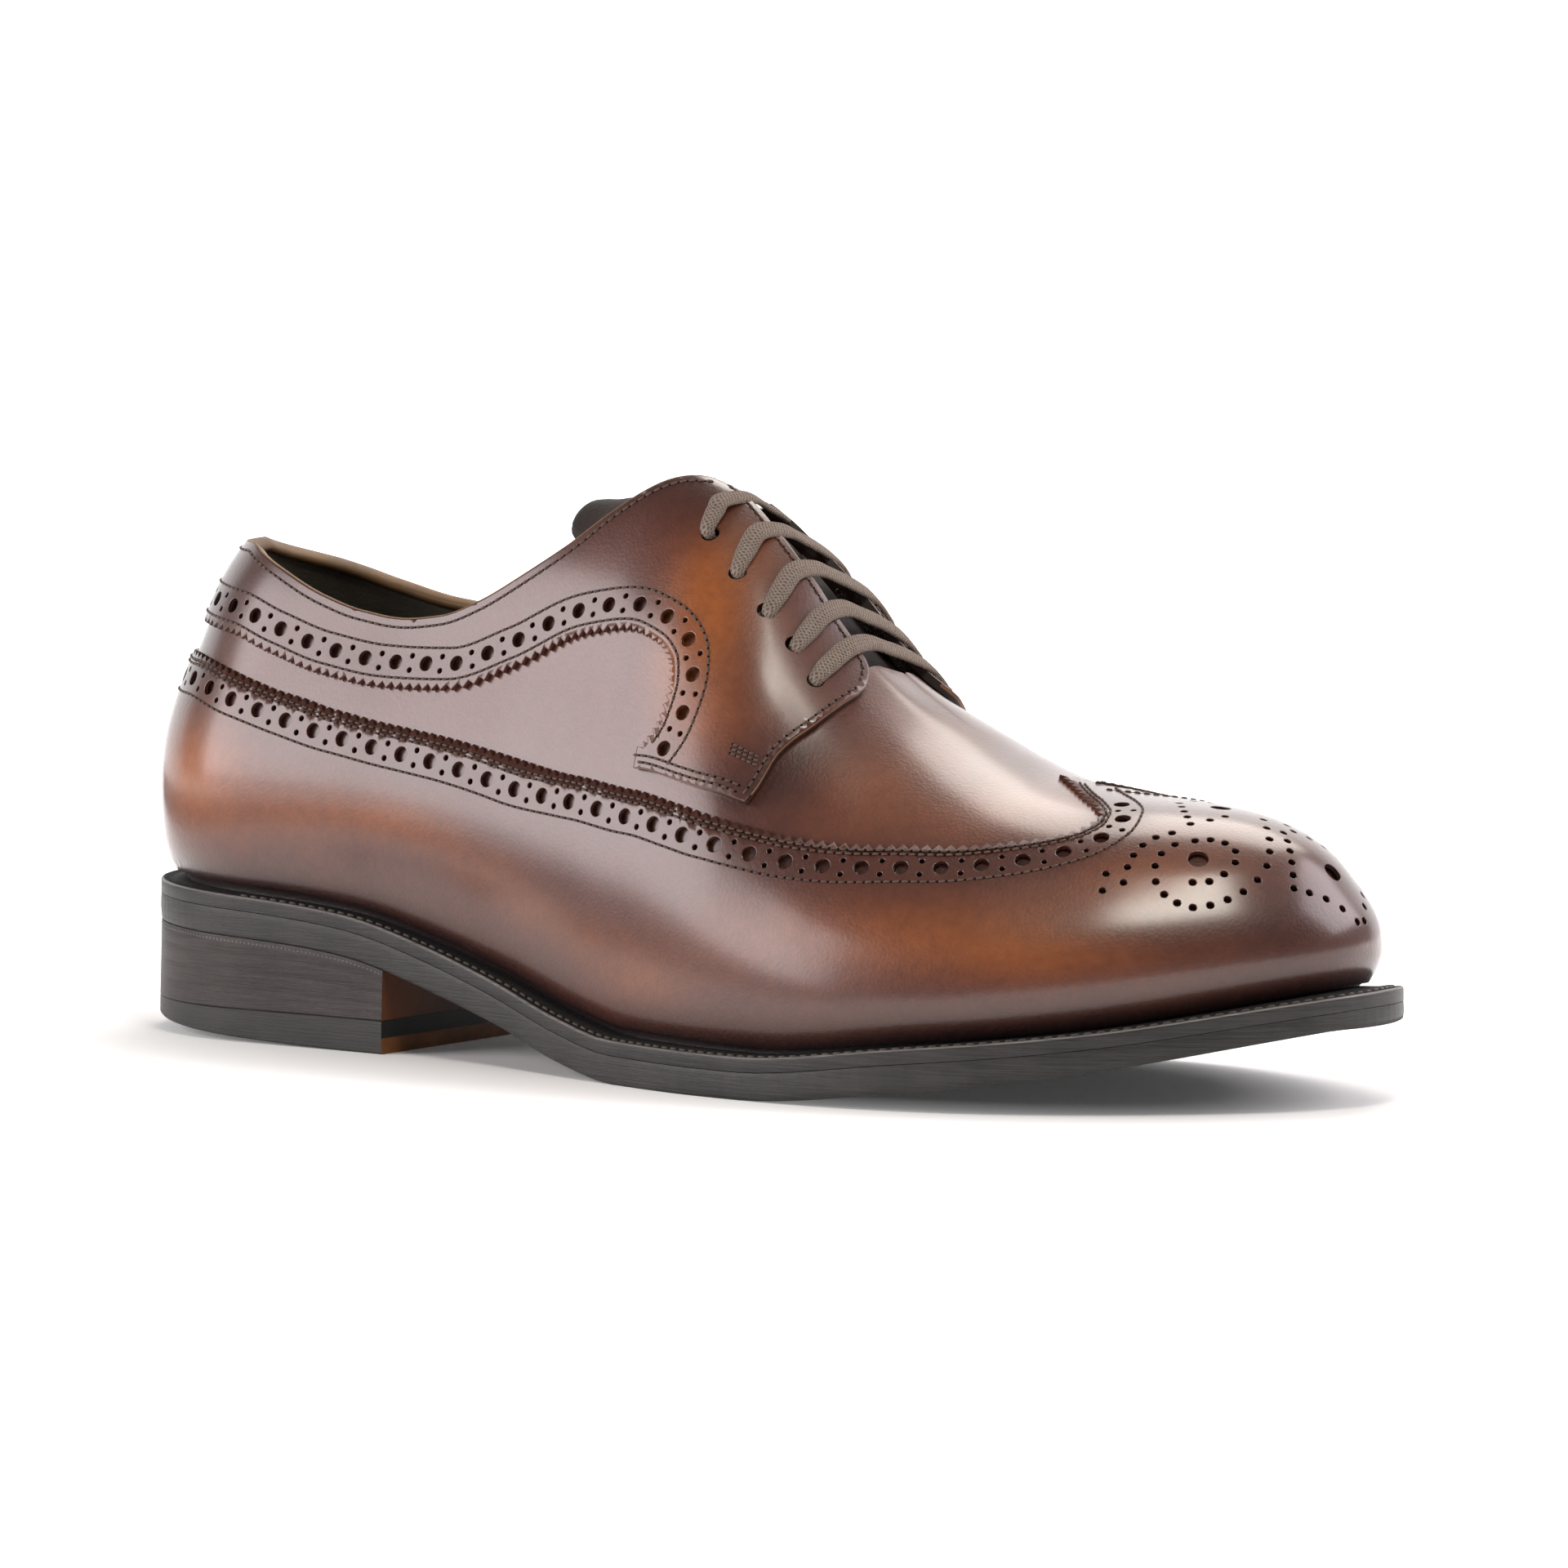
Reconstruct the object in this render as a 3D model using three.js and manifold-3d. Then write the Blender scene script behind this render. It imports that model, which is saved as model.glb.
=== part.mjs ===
// A longwing brogue derby, right shoe, in millimetres.
// +X points to the toe, +Y to the inner (medial) side, +Z up.
// The origin is the centre of the heel on the floor.
import * as THREE from 'three';
import { mergeVertices } from 'three/addons/utils/BufferGeometryUtils.js';
import Module from 'manifold-3d';

const wasm = await Module();
wasm.setup();

// Driving sizes
const FEATHER_BACK = -27.5; // x of the back of the foot outline
const FEATHER_LENGTH = 284; // length of the foot outline
const BALL_WIDTH = 95.5; // width of the foot outline at the ball
const SEAT_HEIGHT = 31.1; // top of the welt over the heel
const INSTEP_HEIGHT = 121.5; // highest point of the ridge
const SIDE_BULGE = 5; // furthest that a side swells over the welt
const WELT_REACH = 6.5; // furthest that the welt reaches out past the upper
const TOE_SWING = 5; // how far the toe bends to the inner side
const HEEL_ROUND = 0.13; // share of the length that rounds the heel
const TOE_ROUND = 0.27; // share of the length that rounds the toe
const FAN_POWER = 1.6;
const HEEL_ROUND_POWER = 2.2;
const TOE_ROUND_POWER = 2.15;
const RIDGE_BACK = 0.118; // share of the length where the ridge starts above the heel
const HEEL_FAN = 0.238; // sections fan round the heel behind this share
const TOE_FAN = 0.695; // and round the toe in front of this one
const RIDGE_FRONT = 0.8926; // share of the length where the ridge ends in the toe
const WALL = 1.6; // leather and lining of the upper
const WING_STEP = 0.9; // the wing stands this far off the vamp and quarters
const GAP = 0.3; // between curved pieces
const FACING_GAP = 0.5; // between the facing and the quarter under it
const FACING = 1.7; // thickness of the facing and collar band
const WELT = 3;
const WELT_INWARDS = 4.5; // width of the welt under the upper
const BREAST = 46.5; // x of the front of the heel
const TOP_PIECE = 7; // height of the lowest heel layer
const INSOLE = 2.5;
const TONGUE = 2;
const LACE = 2.2;
const EYELET = 4; // diameter of the lace holes

// Half widths of the foot outline as shares of the ball width
const WIDTHS = [
  { share: 0, outer: 0.33, inner: 0.33 },
  { share: 0.1, outer: 0.33, inner: 0.333 },
  { share: 0.24, outer: 0.333, inner: 0.304 },
  { share: 0.355, outer: 0.366, inner: 0.272 },
  { share: 0.475, outer: 0.45, inner: 0.298 },
  { share: 0.6, outer: 0.534, inner: 0.393 },
  { share: 0.7, outer: 0.555, inner: 0.445 },
  { share: 0.785, outer: 0.534, inner: 0.45 },
  { share: 0.865, outer: 0.492, inner: 0.429 },
  { share: 0.94, outer: 0.44, inner: 0.393 },
  { share: 1, outer: 0.408, inner: 0.361 },
];

// Height of the welt top at both sides and of the underside of the outsole, as
// shares of the seat height
const SOLE_HEIGHTS = [
  { share: -0.0264, outer: 1.045, inner: 1.045, under: 0.7621 },
  { share: 0.0968, outer: 1, inner: 1, under: 0.717 },
  { share: 0.1673, outer: 0.9614, inner: 0.9614, under: 0.6849 },
  { share: 0.2201, outer: 0.9132, inner: 0.926, under: 0.6367 },
  { share: 0.3011, outer: 0.7524, inner: 0.8039, under: 0.463 },
  { share: 0.3785, outer: 0.5595, inner: 0.6367, under: 0.2733 },
  { share: 0.4489, outer: 0.3794, inner: 0.4695, under: 0.0836 },
  { share: 0.5053, outer: 0.2862, inner: 0.3633, under: 0 },
  { share: 0.625, outer: 0.2765, inner: 0.283, under: 0 },
  { share: 0.7482, outer: 0.3923, inner: 0.3923, under: 0.1029 },
  { share: 0.8715, outer: 0.5241, inner: 0.5241, under: 0.2605 },
  { share: 1.0123, outer: 0.7717, inner: 0.7717, under: 0.5273 },
];

// Height of the ridge along the top of the foot, as shares of the instep height
const RIDGE = [
  { share: -0.0264, height: 0.9053 },
  { share: 0.0968, height: 0.9218 },
  { share: 0.2377, height: 0.963 },
  { share: 0.3785, height: 1 },
  { share: 0.4489, height: 1 },
  { share: 0.5053, height: 0.9712 },
  { share: 0.5475, height: 0.9053 },
  { share: 0.5757, height: 0.8436 },
  { share: 0.6039, height: 0.7654 },
  { share: 0.632, height: 0.6955 },
  { share: 0.6602, height: 0.6379 },
  { share: 0.6884, height: 0.5885 },
  { share: 0.7201, height: 0.5481 },
  { share: 0.7658, height: 0.5062 },
  { share: 0.8222, height: 0.4807 },
  { share: 0.8644, height: 0.4724 },
  { share: 0.9067, height: 0.4609 },
  { share: 0.9419, height: 0.4403 },
];

// How square each half section is, and its share of the side bulge
const SECTIONS = [
  { share: 0, power: 2.3, bulge: 0.6 },
  { share: 0.12, power: 2.3, bulge: 0.72 },
  { share: 0.3, power: 2.2, bulge: 1 },
  { share: 0.45, power: 2.1, bulge: 0.8 },
  { share: 0.6, power: 2.1, bulge: 0.5 },
  { share: 0.8, power: 2.2, bulge: 0.4 },
  { share: 1, power: 2.4, bulge: 0.4 },
];

// How far the welt and the sole reach out, as shares of the welt reach
const REACH = [
  { share: -0.0088, reach: 0.538 },
  { share: 0.2201, reach: 0.585 },
  { share: 0.3785, reach: 0.769 },
  { share: 0.5194, reach: 0.923 },
  { share: 0.8011, reach: 1 },
  { share: 1.0123, reach: 1 },
];

// Lines on the skin. Round is the place along the side from heel 0 to toe 1,
// and girth the place from the welt 0 to the ridge 1.

// Collar line of each side, from the back seam to the top of the facing
const COLLAR = [
  { round: 0.0, outer: 0.69, inner: 0.69 },
  { round: 0.14, outer: 0.675, inner: 0.6 },
  { round: 0.177, outer: 0.64, inner: 0.565 },
  { round: 0.213, outer: 0.595, inner: 0.525 },
  { round: 0.271, outer: 0.51, inner: 0.473 },
  { round: 0.305, outer: 0.475, inner: 0.46 },
  { round: 0.335, outer: 0.462, inner: 0.462 },
  { round: 0.361, outer: 0.472, inner: 0.485 },
  { round: 0.383, outer: 0.502, inner: 0.52 },
  { round: 0.407, outer: 0.56, inner: 0.568 },
  { round: 0.431, outer: 0.629, inner: 0.64 },
  { round: 0.451, outer: 0.714, inner: 0.73 },
  { round: 0.467, outer: 0.78, inner: 0.795 },
  { round: 0.48, outer: 0.838, inner: 0.845 },
];

// Where the throat of the upper runs under the facings
const THROAT_GIRTH = 0.6;
const THROAT_TURN = 0.579;
const THROAT_END = 0.586;

// Gimped top edge of the wing, and the peak that it makes on the ridge
const WING_EDGE = [
  { round: 0, girth: 0.373 },
  { round: 0.06, girth: 0.378 },
  { round: 0.12, girth: 0.378 },
  { round: 0.162, girth: 0.368 },
  { round: 0.196, girth: 0.351 },
  { round: 0.226, girth: 0.331 },
  { round: 0.252, girth: 0.313 },
  { round: 0.276, girth: 0.301 },
  { round: 0.299, girth: 0.288 },
  { round: 0.34, girth: 0.278 },
  { round: 0.399, girth: 0.276 },
  { round: 0.454, girth: 0.281 },
  { round: 0.506, girth: 0.293 },
  { round: 0.542, girth: 0.313 },
  { round: 0.576, girth: 0.361 },
  { round: 0.612, girth: 0.421 },
  { round: 0.648, girth: 0.491 },
  { round: 0.685, girth: 0.559 },
  { round: 0.705, girth: 0.6 },
  { round: 0.723, girth: 0.642 },
  { round: 0.735, girth: 0.692 },
  { round: 0.74, girth: 0.757 },
];
const PEAK_EDGE = [
  { round: 0.68, girth: 0.985 },
  { round: 0.695, girth: 0.94 },
  { round: 0.713, girth: 0.885 },
  { round: 0.74, girth: 0.785 },
];
const PEAK_START = PEAK_EDGE[0].round;
const PEAK_END = PEAK_EDGE[3].round;

// The band round the collar and the facing are one panel a side. Along runs
// from the back seam to the front edge, low and high are its two long edges.
const PANEL = [
  { along: 0, lowRound: 0.004, lowGirth: 0.451, highRound: 0.004, highGirth: 0.69 },
  { along: 0.1, lowRound: 0.12, lowGirth: 0.442, highRound: 0.1, highGirth: 0.683 },
  { along: 0.18, lowRound: 0.185, lowGirth: 0.423, highRound: 0.177, highGirth: 0.64 },
  { along: 0.26, lowRound: 0.237, lowGirth: 0.38, highRound: 0.235, highGirth: 0.56 },
  { along: 0.34, lowRound: 0.289, lowGirth: 0.343, highRound: 0.29, highGirth: 0.487 },
  { along: 0.42, lowRound: 0.333, lowGirth: 0.333, highRound: 0.335, highGirth: 0.462 },
  { along: 0.49, lowRound: 0.375, lowGirth: 0.347, highRound: 0.383, highGirth: 0.502 },
  { along: 0.55, lowRound: 0.411, lowGirth: 0.392, highRound: 0.42, highGirth: 0.595 },
  { along: 0.61, lowRound: 0.444, lowGirth: 0.46, highRound: 0.451, highGirth: 0.714 },
  { along: 0.66, lowRound: 0.469, lowGirth: 0.491, highRound: 0.48, highGirth: 0.838 },
  { along: 0.71, lowRound: 0.493, lowGirth: 0.503, highRound: 0.501, highGirth: 0.9 },
  { along: 0.76, lowRound: 0.507, lowGirth: 0.488, highRound: 0.521, highGirth: 0.88 },
  { along: 0.81, lowRound: 0.512, lowGirth: 0.44, highRound: 0.54, highGirth: 0.864 },
  { along: 0.87, lowRound: 0.5, lowGirth: 0.318, highRound: 0.558, highGirth: 0.858 },
  { along: 0.935, lowRound: 0.533, lowGirth: 0.336, highRound: 0.573, highGirth: 0.853 },
  { along: 1, lowRound: 0.564, lowGirth: 0.374, highRound: 0.588, highGirth: 0.82 },
];
const PANEL_BEND = 0.009; // the front edge of the facing bows forwards

// Lace holes, from the lowest pair to the top one
const EYELETS = [
  { round: 0.574, girth: 0.688 },
  { round: 0.56, girth: 0.7 },
  { round: 0.545, girth: 0.697 },
  { round: 0.527, girth: 0.71 },
  { round: 0.508, girth: 0.737 },
];

const OUTER = -1;
const INNER = 1;

// A smooth line through one column of a table
function column(table, key, name, value) {
  const last = table.length - 1;
  if (value <= table[0][key]) return table[0][name];
  if (value >= table[last][key]) return table[last][name];
  const rise = (k) => (table[k + 1][name] - table[k][name]) / (table[k + 1][key] - table[k][key]);
  const slope = (k) => {
    if (k === 0) return rise(0);
    if (k === last) return rise(last - 1);
    const a = rise(k - 1);
    const b = rise(k);
    return a * b <= 0 ? 0 : (2 * a * b) / (a + b);
  };
  let row = 0;
  while (table[row + 1][key] < value) row += 1;
  const span = table[row + 1][key] - table[row][key];
  const t = (value - table[row][key]) / span;
  const start = table[row][name] * (1 + 2 * t) * (1 - t) ** 2;
  const leave = slope(row) * span * t * (1 - t) ** 2;
  const end = table[row + 1][name] * t * t * (3 - 2 * t);
  const arrive = slope(row + 1) * span * t * t * (1 - t);
  return start + leave + end - arrive;
}

const clamp = (value) => Math.min(1, Math.max(0, value));
const ease = (value) => clamp(value) ** 2 * (3 - 2 * clamp(value));
const sideName = (side) => (side === OUTER ? 'outer' : 'inner');
const shareAt = (round) => (1 - Math.cos(Math.PI * round)) / 2;
const xAt = (share) => FEATHER_BACK + share * FEATHER_LENGTH;
const alongAt = (x) => (x - FEATHER_BACK) / FEATHER_LENGTH;
const roundAt = (x) => Math.acos(1 - 2 * clamp(alongAt(x))) / Math.PI;
const swing = (share) => TOE_SWING * ease((share - 0.55) / 0.45);
const ridgeHeight = (x) => INSTEP_HEIGHT * column(RIDGE, 'share', 'height', alongAt(x));
const soleHeight = (x, line) => SEAT_HEIGHT * column(SOLE_HEIGHTS, 'share', line, alongAt(x));
const weltHeight = (x, side) => soleHeight(x, sideName(side));
const underHeight = (x) => soleHeight(x, 'under');

// A point of the foot outline at the top of the welt
function feather(round, side) {
  const share = shareAt(round);
  const back = clamp(1 - share / HEEL_ROUND) ** HEEL_ROUND_POWER;
  const front = clamp(1 - (1 - share) / TOE_ROUND) ** TOE_ROUND_POWER;
  const rounding = (1 - back) ** (1 / HEEL_ROUND_POWER) * (1 - front) ** (1 / TOE_ROUND_POWER);
  const half = BALL_WIDTH * column(WIDTHS, 'share', sideName(side), share);
  const x = xAt(share);
  return new THREE.Vector3(x, swing(share) + side * half * rounding, weltHeight(x, side));
}

// The ridge takes in the rounded heel and the rounded toe
function ridgeX(x) {
  const share = alongAt(x);
  if (share < HEEL_FAN) {
    return xAt(RIDGE_BACK + (HEEL_FAN - RIDGE_BACK) * (share / HEEL_FAN) ** FAN_POWER);
  }
  const toe = clamp((share - TOE_FAN) / (1 - TOE_FAN));
  return xAt(share < TOE_FAN ? share : TOE_FAN + (RIDGE_FRONT - TOE_FAN) * (1 - (1 - toe) ** FAN_POWER));
}

// A point of the outer skin of the vamp and quarters
function skin(round, side, girth) {
  const foot = feather(round, side);
  const share = shareAt(round);
  const x = ridgeX(foot.x);
  const ridge = new THREE.Vector3(x, swing(alongAt(x)), ridgeHeight(x));
  const across = new THREE.Vector3(ridge.x - foot.x, ridge.y - foot.y, 0);
  const length = across.length();
  across.normalize();
  const height = ridge.z - foot.z;
  const power = column(SECTIONS, 'share', 'power', share);
  const bulge = SIDE_BULGE * column(SECTIONS, 'share', 'bulge', share);
  const angle = (Math.min(1, girth) * Math.PI) / 2;
  const sine = Math.sin(angle);
  const rise = height * sine ** (2 / power);
  const inwards = length * (1 - Math.max(0, Math.cos(angle)) ** (2 / power));
  const reach = inwards - bulge * Math.sin(Math.PI * clamp(rise / height / 0.62));
  const slope = (ridgeHeight(x + 1) - ridgeHeight(x - 1)) / 2;
  const lean = across.x * slope * (length - reach) * sine ** 3;
  return foot.addScaledVector(across, reach).add(new THREE.Vector3(0, 0, rise - lean));
}

// Past the back seam or the toe the skin runs on along the other side
function skinRound(round, side, girth) {
  if (round < 0) return skin(-round, -side, girth);
  if (round > 1) return skin(2 - round, -side, girth);
  return skin(round, side, girth);
}

// A point at a distance from the skin, measured square to it
function offSkin(round, side, girth, distance) {
  const point = skin(round, side, girth);
  if (girth > 0.999) {
    const slope = (ridgeHeight(point.x + 1) - ridgeHeight(point.x - 1)) / 2;
    return point.addScaledVector(new THREE.Vector3(-slope, 0, 1).normalize(), distance);
  }
  const step = 0.004;
  const low = Math.max(0, girth - step);
  const high = Math.min(1, girth + step);
  const along = skinRound(round + step, side, girth).sub(skinRound(round - step, side, girth));
  const up = skin(round, side, high).sub(skin(round, side, low));
  const normal = along.cross(up).multiplyScalar(-side).normalize();
  normal.z *= Math.min(1, girth / 0.06);
  return point.addScaledVector(normal.normalize(), distance);
}

// A point of the outline moved outwards in plan
function outlinePoint(round, side, reach, height) {
  const step = 0.002;
  const here = feather(round, side);
  const next = round + step > 1 ? feather(2 - round - step, -side) : feather(round + step, side);
  const last = round - step < 0 ? feather(step - round, -side) : feather(round - step, side);
  const normal = new THREE.Vector3(next.y - last.y, last.x - next.x, 0).multiplyScalar(-side);
  here.addScaledVector(normal.normalize(), reach);
  here.z = height(here.x, side);
  return here;
}

const reachAt = (x) => WELT_REACH * column(REACH, 'share', 'reach', alongAt(x));

// Collects faces, then merges their corners into one closed geometry
class Faces {
  constructor() {
    this.positions = [];
  }

  triangle(a, b, c) {
    if (a.distanceTo(b) < 1e-4 || b.distanceTo(c) < 1e-4 || c.distanceTo(a) < 1e-4) return;
    this.positions.push(...a.toArray(), ...b.toArray(), ...c.toArray());
  }

  quad(a, b, c, d) {
    this.triangle(a, b, c);
    this.triangle(a, c, d);
  }

  grid(rows, flip = false) {
    for (let i = 0; i + 1 < rows.length; i += 1) {
      for (let j = 0; j + 1 < rows[i].length; j += 1) {
        const corners = [rows[i][j], rows[i][j + 1], rows[i + 1][j + 1], rows[i + 1][j]];
        if (flip) corners.reverse();
        this.quad(...corners);
      }
    }
  }

  geometry() {
    const loose = new THREE.BufferGeometry();
    loose.setAttribute('position', new THREE.Float32BufferAttribute(this.positions, 3));
    return mergeVertices(loose, 1e-3);
  }
}

// The signed volume tells whether the faces point outwards
function outwards(geometry) {
  const p = geometry.attributes.position;
  const index = geometry.index.array;
  const [a, b, c] = [new THREE.Vector3(), new THREE.Vector3(), new THREE.Vector3()];
  let volume = 0;
  for (let k = 0; k < index.length; k += 3) {
    a.fromBufferAttribute(p, index[k]);
    b.fromBufferAttribute(p, index[k + 1]);
    c.fromBufferAttribute(p, index[k + 2]);
    volume += a.dot(b.cross(c));
  }
  if (volume < 0) {
    for (let k = 0; k < index.length; k += 3) {
      [index[k], index[k + 1]] = [index[k + 1], index[k]];
    }
  }
  return geometry;
}

// A shell between two grids of the same size, closed round its rim
function shell(outside, inside) {
  const faces = new Faces();
  const lastRow = outside.length - 1;
  const lastColumn = outside[0].length - 1;
  faces.grid(outside);
  faces.grid(inside, true);
  faces.grid([inside[0], outside[0]]);
  faces.grid([outside[lastRow], inside[lastRow]]);
  faces.grid([outside.map((row) => row[0]), inside.map((row) => row[0])], false);
  faces.grid([inside.map((row) => row[lastColumn]), outside.map((row) => row[lastColumn])], false);
  return outwards(faces.geometry());
}

// Loops of equal length stacked into one closed body. A loop runs down the
// outer side, round the heel and up the inner side.
function stack(loops) {
  const faces = new Faces();
  const closed = loops.map((loop) => [...loop, loop[0]]);
  faces.grid(closed);
  const cap = (loop, flip) => {
    const half = loop.length / 2;
    const outer = loop.slice(0, half).reverse();
    const inner = loop.slice(half);
    faces.grid([outer, inner], flip);
  };
  cap(loops[0], false);
  cap(loops[loops.length - 1], true);
  return outwards(faces.geometry());
}

// A loop at a distance from the foot outline, back from one place on it
function outlineLoop(reach, height, front = 1, count = 38) {
  const outer = [];
  const inner = [];
  for (let k = 0; k <= count; k += 1) {
    const round = (front * k) / count;
    const distance = typeof reach === 'function' ? reach(feather(round, OUTER).x) : reach;
    outer.unshift(outlinePoint(round, OUTER, distance, height));
    inner.push(outlinePoint(round, INNER, distance, height));
  }
  return [...outer, ...inner];
}

const above = (lift) => (x, side) => weltHeight(x, side) + lift;

function solid(geometry) {
  const mesh = new wasm.Mesh({
    numProp: 3,
    vertProperties: new Float32Array(geometry.attributes.position.array),
    triVerts: new Uint32Array(geometry.index.array),
  });
  return new wasm.Manifold(mesh);
}

function fromSolid(body) {
  const mesh = body.getMesh();
  const geometry = new THREE.BufferGeometry();
  geometry.setAttribute('position', new THREE.Float32BufferAttribute(mesh.vertProperties, 3));
  geometry.setIndex(new THREE.Uint32BufferAttribute(mesh.triVerts, 1));
  return geometry;
}

// Upper: one hollow skin, open at the collar and throat and underneath
const UPPER_ROUNDS = [
  0, 0.025, 0.05, 0.075, 0.1, 0.125, 0.15, 0.18, 0.213, 0.245, 0.275, 0.305, 0.335, 0.361, 0.385, 0.409, 0.431,
  0.451, 0.469, 0.487, 0.512, 0.537, 0.56, THROAT_TURN, 0.581, 0.5835, THROAT_END, 0.605, 0.625, 0.65,
  0.668, PEAK_START, 0.695, 0.708, 0.722, 0.733, PEAK_END, 0.765, 0.8, 0.84, 0.88, 0.92, 0.96, 1,
];

function topGirth(round, side) {
  if (round >= THROAT_END) return 1;
  const turn = clamp((round - THROAT_TURN) / (THROAT_END - THROAT_TURN));
  if (turn > 0) return THROAT_GIRTH + (1 - THROAT_GIRTH) * turn;
  return Math.min(THROAT_GIRTH + 0.09 * clamp((0.25 - round) / 0.1), column(COLLAR, 'round', sideName(side), round));
}

// Each column of the upper: rows of wing, a step, rows of vamp or quarter, and
// at the toe a second step up onto the peak of the wing
function upperColumn(round, side) {
  const top = topGirth(round, side) - (round < 0.49 ? 0.012 : 0);
  const edge = column(WING_EDGE, 'round', 'girth', round);
  const atPeak = round >= PEAK_START;
  const peak = atPeak ? column(PEAK_EDGE, 'round', 'girth', round) : edge + (top - edge) * 0.8;
  const allWing = round >= PEAK_END;
  const rows = [];
  for (let k = 0; k <= 5; k += 1) rows.push({ girth: ((edge - 0.004) * k) / 5, raised: true });
  for (let k = 0; k <= 3; k += 1) {
    rows.push({ girth: edge + 0.004 + ((peak - edge - 0.01) * k) / 3, raised: allWing });
  }
  for (let k = 0; k <= 2; k += 1) {
    rows.push({ girth: peak + ((top - peak) * k) / 2, raised: atPeak });
  }
  return rows;
}

function upperSkin(side) {
  const outside = [];
  const inside = [];
  for (const round of UPPER_ROUNDS) {
    const rows = upperColumn(round, side);
    outside.push(rows.map(({ girth, raised }) => offSkin(round, side, girth, raised ? WING_STEP : 0)));
    inside.push(rows.map(({ girth }) => offSkin(round, side, girth, -WALL)));
  }
  for (const row of [...outside, ...inside]) row[0].z += 0.4;
  return { outside, inside };
}

function upper() {
  const faces = new Faces();
  for (const side of [OUTER, INNER]) {
    const { outside, inside } = upperSkin(side);
    const flip = side === INNER;
    const last = outside[0].length - 1;
    faces.grid(outside, flip);
    faces.grid(inside, !flip);
    faces.grid([outside.map((row) => row[0]), inside.map((row) => row[0])], flip);
    const open = UPPER_ROUNDS.filter((round) => round <= THROAT_END).length;
    const rimOut = outside.slice(0, open).map((row) => row[last]);
    const rimIn = inside.slice(0, open).map((row) => row[last]);
    faces.grid([rimIn, rimOut], flip);
  }
  return outwards(faces.geometry());
}

// Facing and collar band of one side, with its lace holes
function panelPoint(along, across, side, distance) {
  const at = (name) => column(PANEL, 'along', name, along);
  const bow = PANEL_BEND * Math.sin(Math.PI * across) * ease((along - 0.87) / 0.13);
  const round = at('lowRound') + (at('highRound') - at('lowRound')) * across + bow;
  const high = side === OUTER ? at('highGirth') : innerHigh(at('highRound'), at('highGirth'));
  const girth = at('lowGirth') + (high - at('lowGirth')) * across;
  return offSkin(round, side, girth, distance);
}

// The inner side has the collar line of its own
function innerHigh(round, girth) {
  return girth + column(COLLAR, 'round', 'inner', round) - column(COLLAR, 'round', 'outer', round);
}

function facing(side) {
  const outside = [];
  const inside = [];
  const lengthwise = 38;
  const crosswise = 6;
  for (let i = 0; i <= lengthwise; i += 1) {
    const along = i / lengthwise;
    const out = [];
    const back = [];
    for (let j = 0; j <= crosswise; j += 1) {
      out.push(panelPoint(along, j / crosswise, side, FACING_GAP + FACING));
      back.push(panelPoint(along, j / crosswise, side, FACING_GAP));
    }
    outside.push(out);
    inside.push(back);
  }
  let body = solid(shell(outside, inside));
  for (const { round, girth } of EYELETS) {
    const base = offSkin(round, side, girth, -3);
    const tip = offSkin(round, side, girth, 6);
    const drill = new THREE.CylinderGeometry(EYELET / 2, EYELET / 2, 9, 8);
    drill.applyQuaternion(
      new THREE.Quaternion().setFromUnitVectors(
        new THREE.Vector3(0, 1, 0),
        tip.clone().sub(base).normalize(),
      ),
    );
    const middle = base.add(tip).multiplyScalar(0.5);
    drill.translate(middle.x, middle.y, middle.z);
    drill.deleteAttribute('normal');
    drill.deleteAttribute('uv');
    body = body.subtract(solid(mergeVertices(drill, 1e-4)));
  }
  return fromSolid(body);
}

// Tongue: a sheet over the instep, under the vamp at its front end. Depth under
// the skin counts lace thicknesses, which leaves room for the runs of the lace.
const TONGUE_FRONT = 0.695; // share of the length, under the vamp
const TONGUE_END = 0.357; // share of the length, above the collar
const TONGUE_EDGE = [
  { share: TONGUE_END, girth: 0.72, depth: 1.4 },
  { share: 0.393, girth: 0.66, depth: 1.4 },
  { share: 0.519, girth: 0.62, depth: 1.4 },
  { share: 0.618, girth: 0.62, depth: 1.4 },
  { share: 0.653, girth: 0.66, depth: 1.1 },
  { share: TONGUE_FRONT, girth: 0.72, depth: 0.9 },
];

function tongue() {
  const lengthwise = 22;
  const halfAcross = 6;
  const outside = [];
  const inside = [];
  for (let i = 0; i <= lengthwise; i += 1) {
    const share = TONGUE_END + ((TONGUE_FRONT - TONGUE_END) * i) / lengthwise;
    const edge = column(TONGUE_EDGE, 'share', 'girth', share);
    const depth = LACE * column(TONGUE_EDGE, 'share', 'depth', share);
    const round = roundAt(xAt(share));
    const out = [];
    const back = [];
    for (let j = -halfAcross; j <= halfAcross; j += 1) {
      const side = j < 0 ? OUTER : INNER;
      const girth = 1 - (1 - edge) * Math.abs(j / halfAcross);
      out.push(offSkin(round, side, girth, -depth));
      back.push(offSkin(round, side, girth, -depth - TONGUE));
    }
    outside.push(out);
    inside.push(back);
  }
  return shell(outside, inside);
}

// Welt: a flat strip round the whole foot, laid on the edge of the outsole
function welt() {
  const faces = new Faces();
  const inwards = -WELT_INWARDS;
  const loops = [
    outlineLoop(inwards, above(0)),
    outlineLoop(reachAt, above(0)),
    outlineLoop(reachAt, above(-WELT)),
    outlineLoop(inwards, above(-WELT)),
    outlineLoop(inwards, above(0)),
  ];
  faces.grid(loops.map((loop) => [...loop, loop[0]]));
  return outwards(faces.geometry());
}

const insole = () =>
  stack([
    outlineLoop(-WALL - GAP * 2, above(GAP + INSOLE)),
    outlineLoop(-WALL - GAP * 2, above(GAP)),
    outlineLoop(-WELT_INWARDS - GAP, above(GAP)),
    outlineLoop(-WELT_INWARDS - GAP, above(0.4 - WELT)),
  ]);

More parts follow.
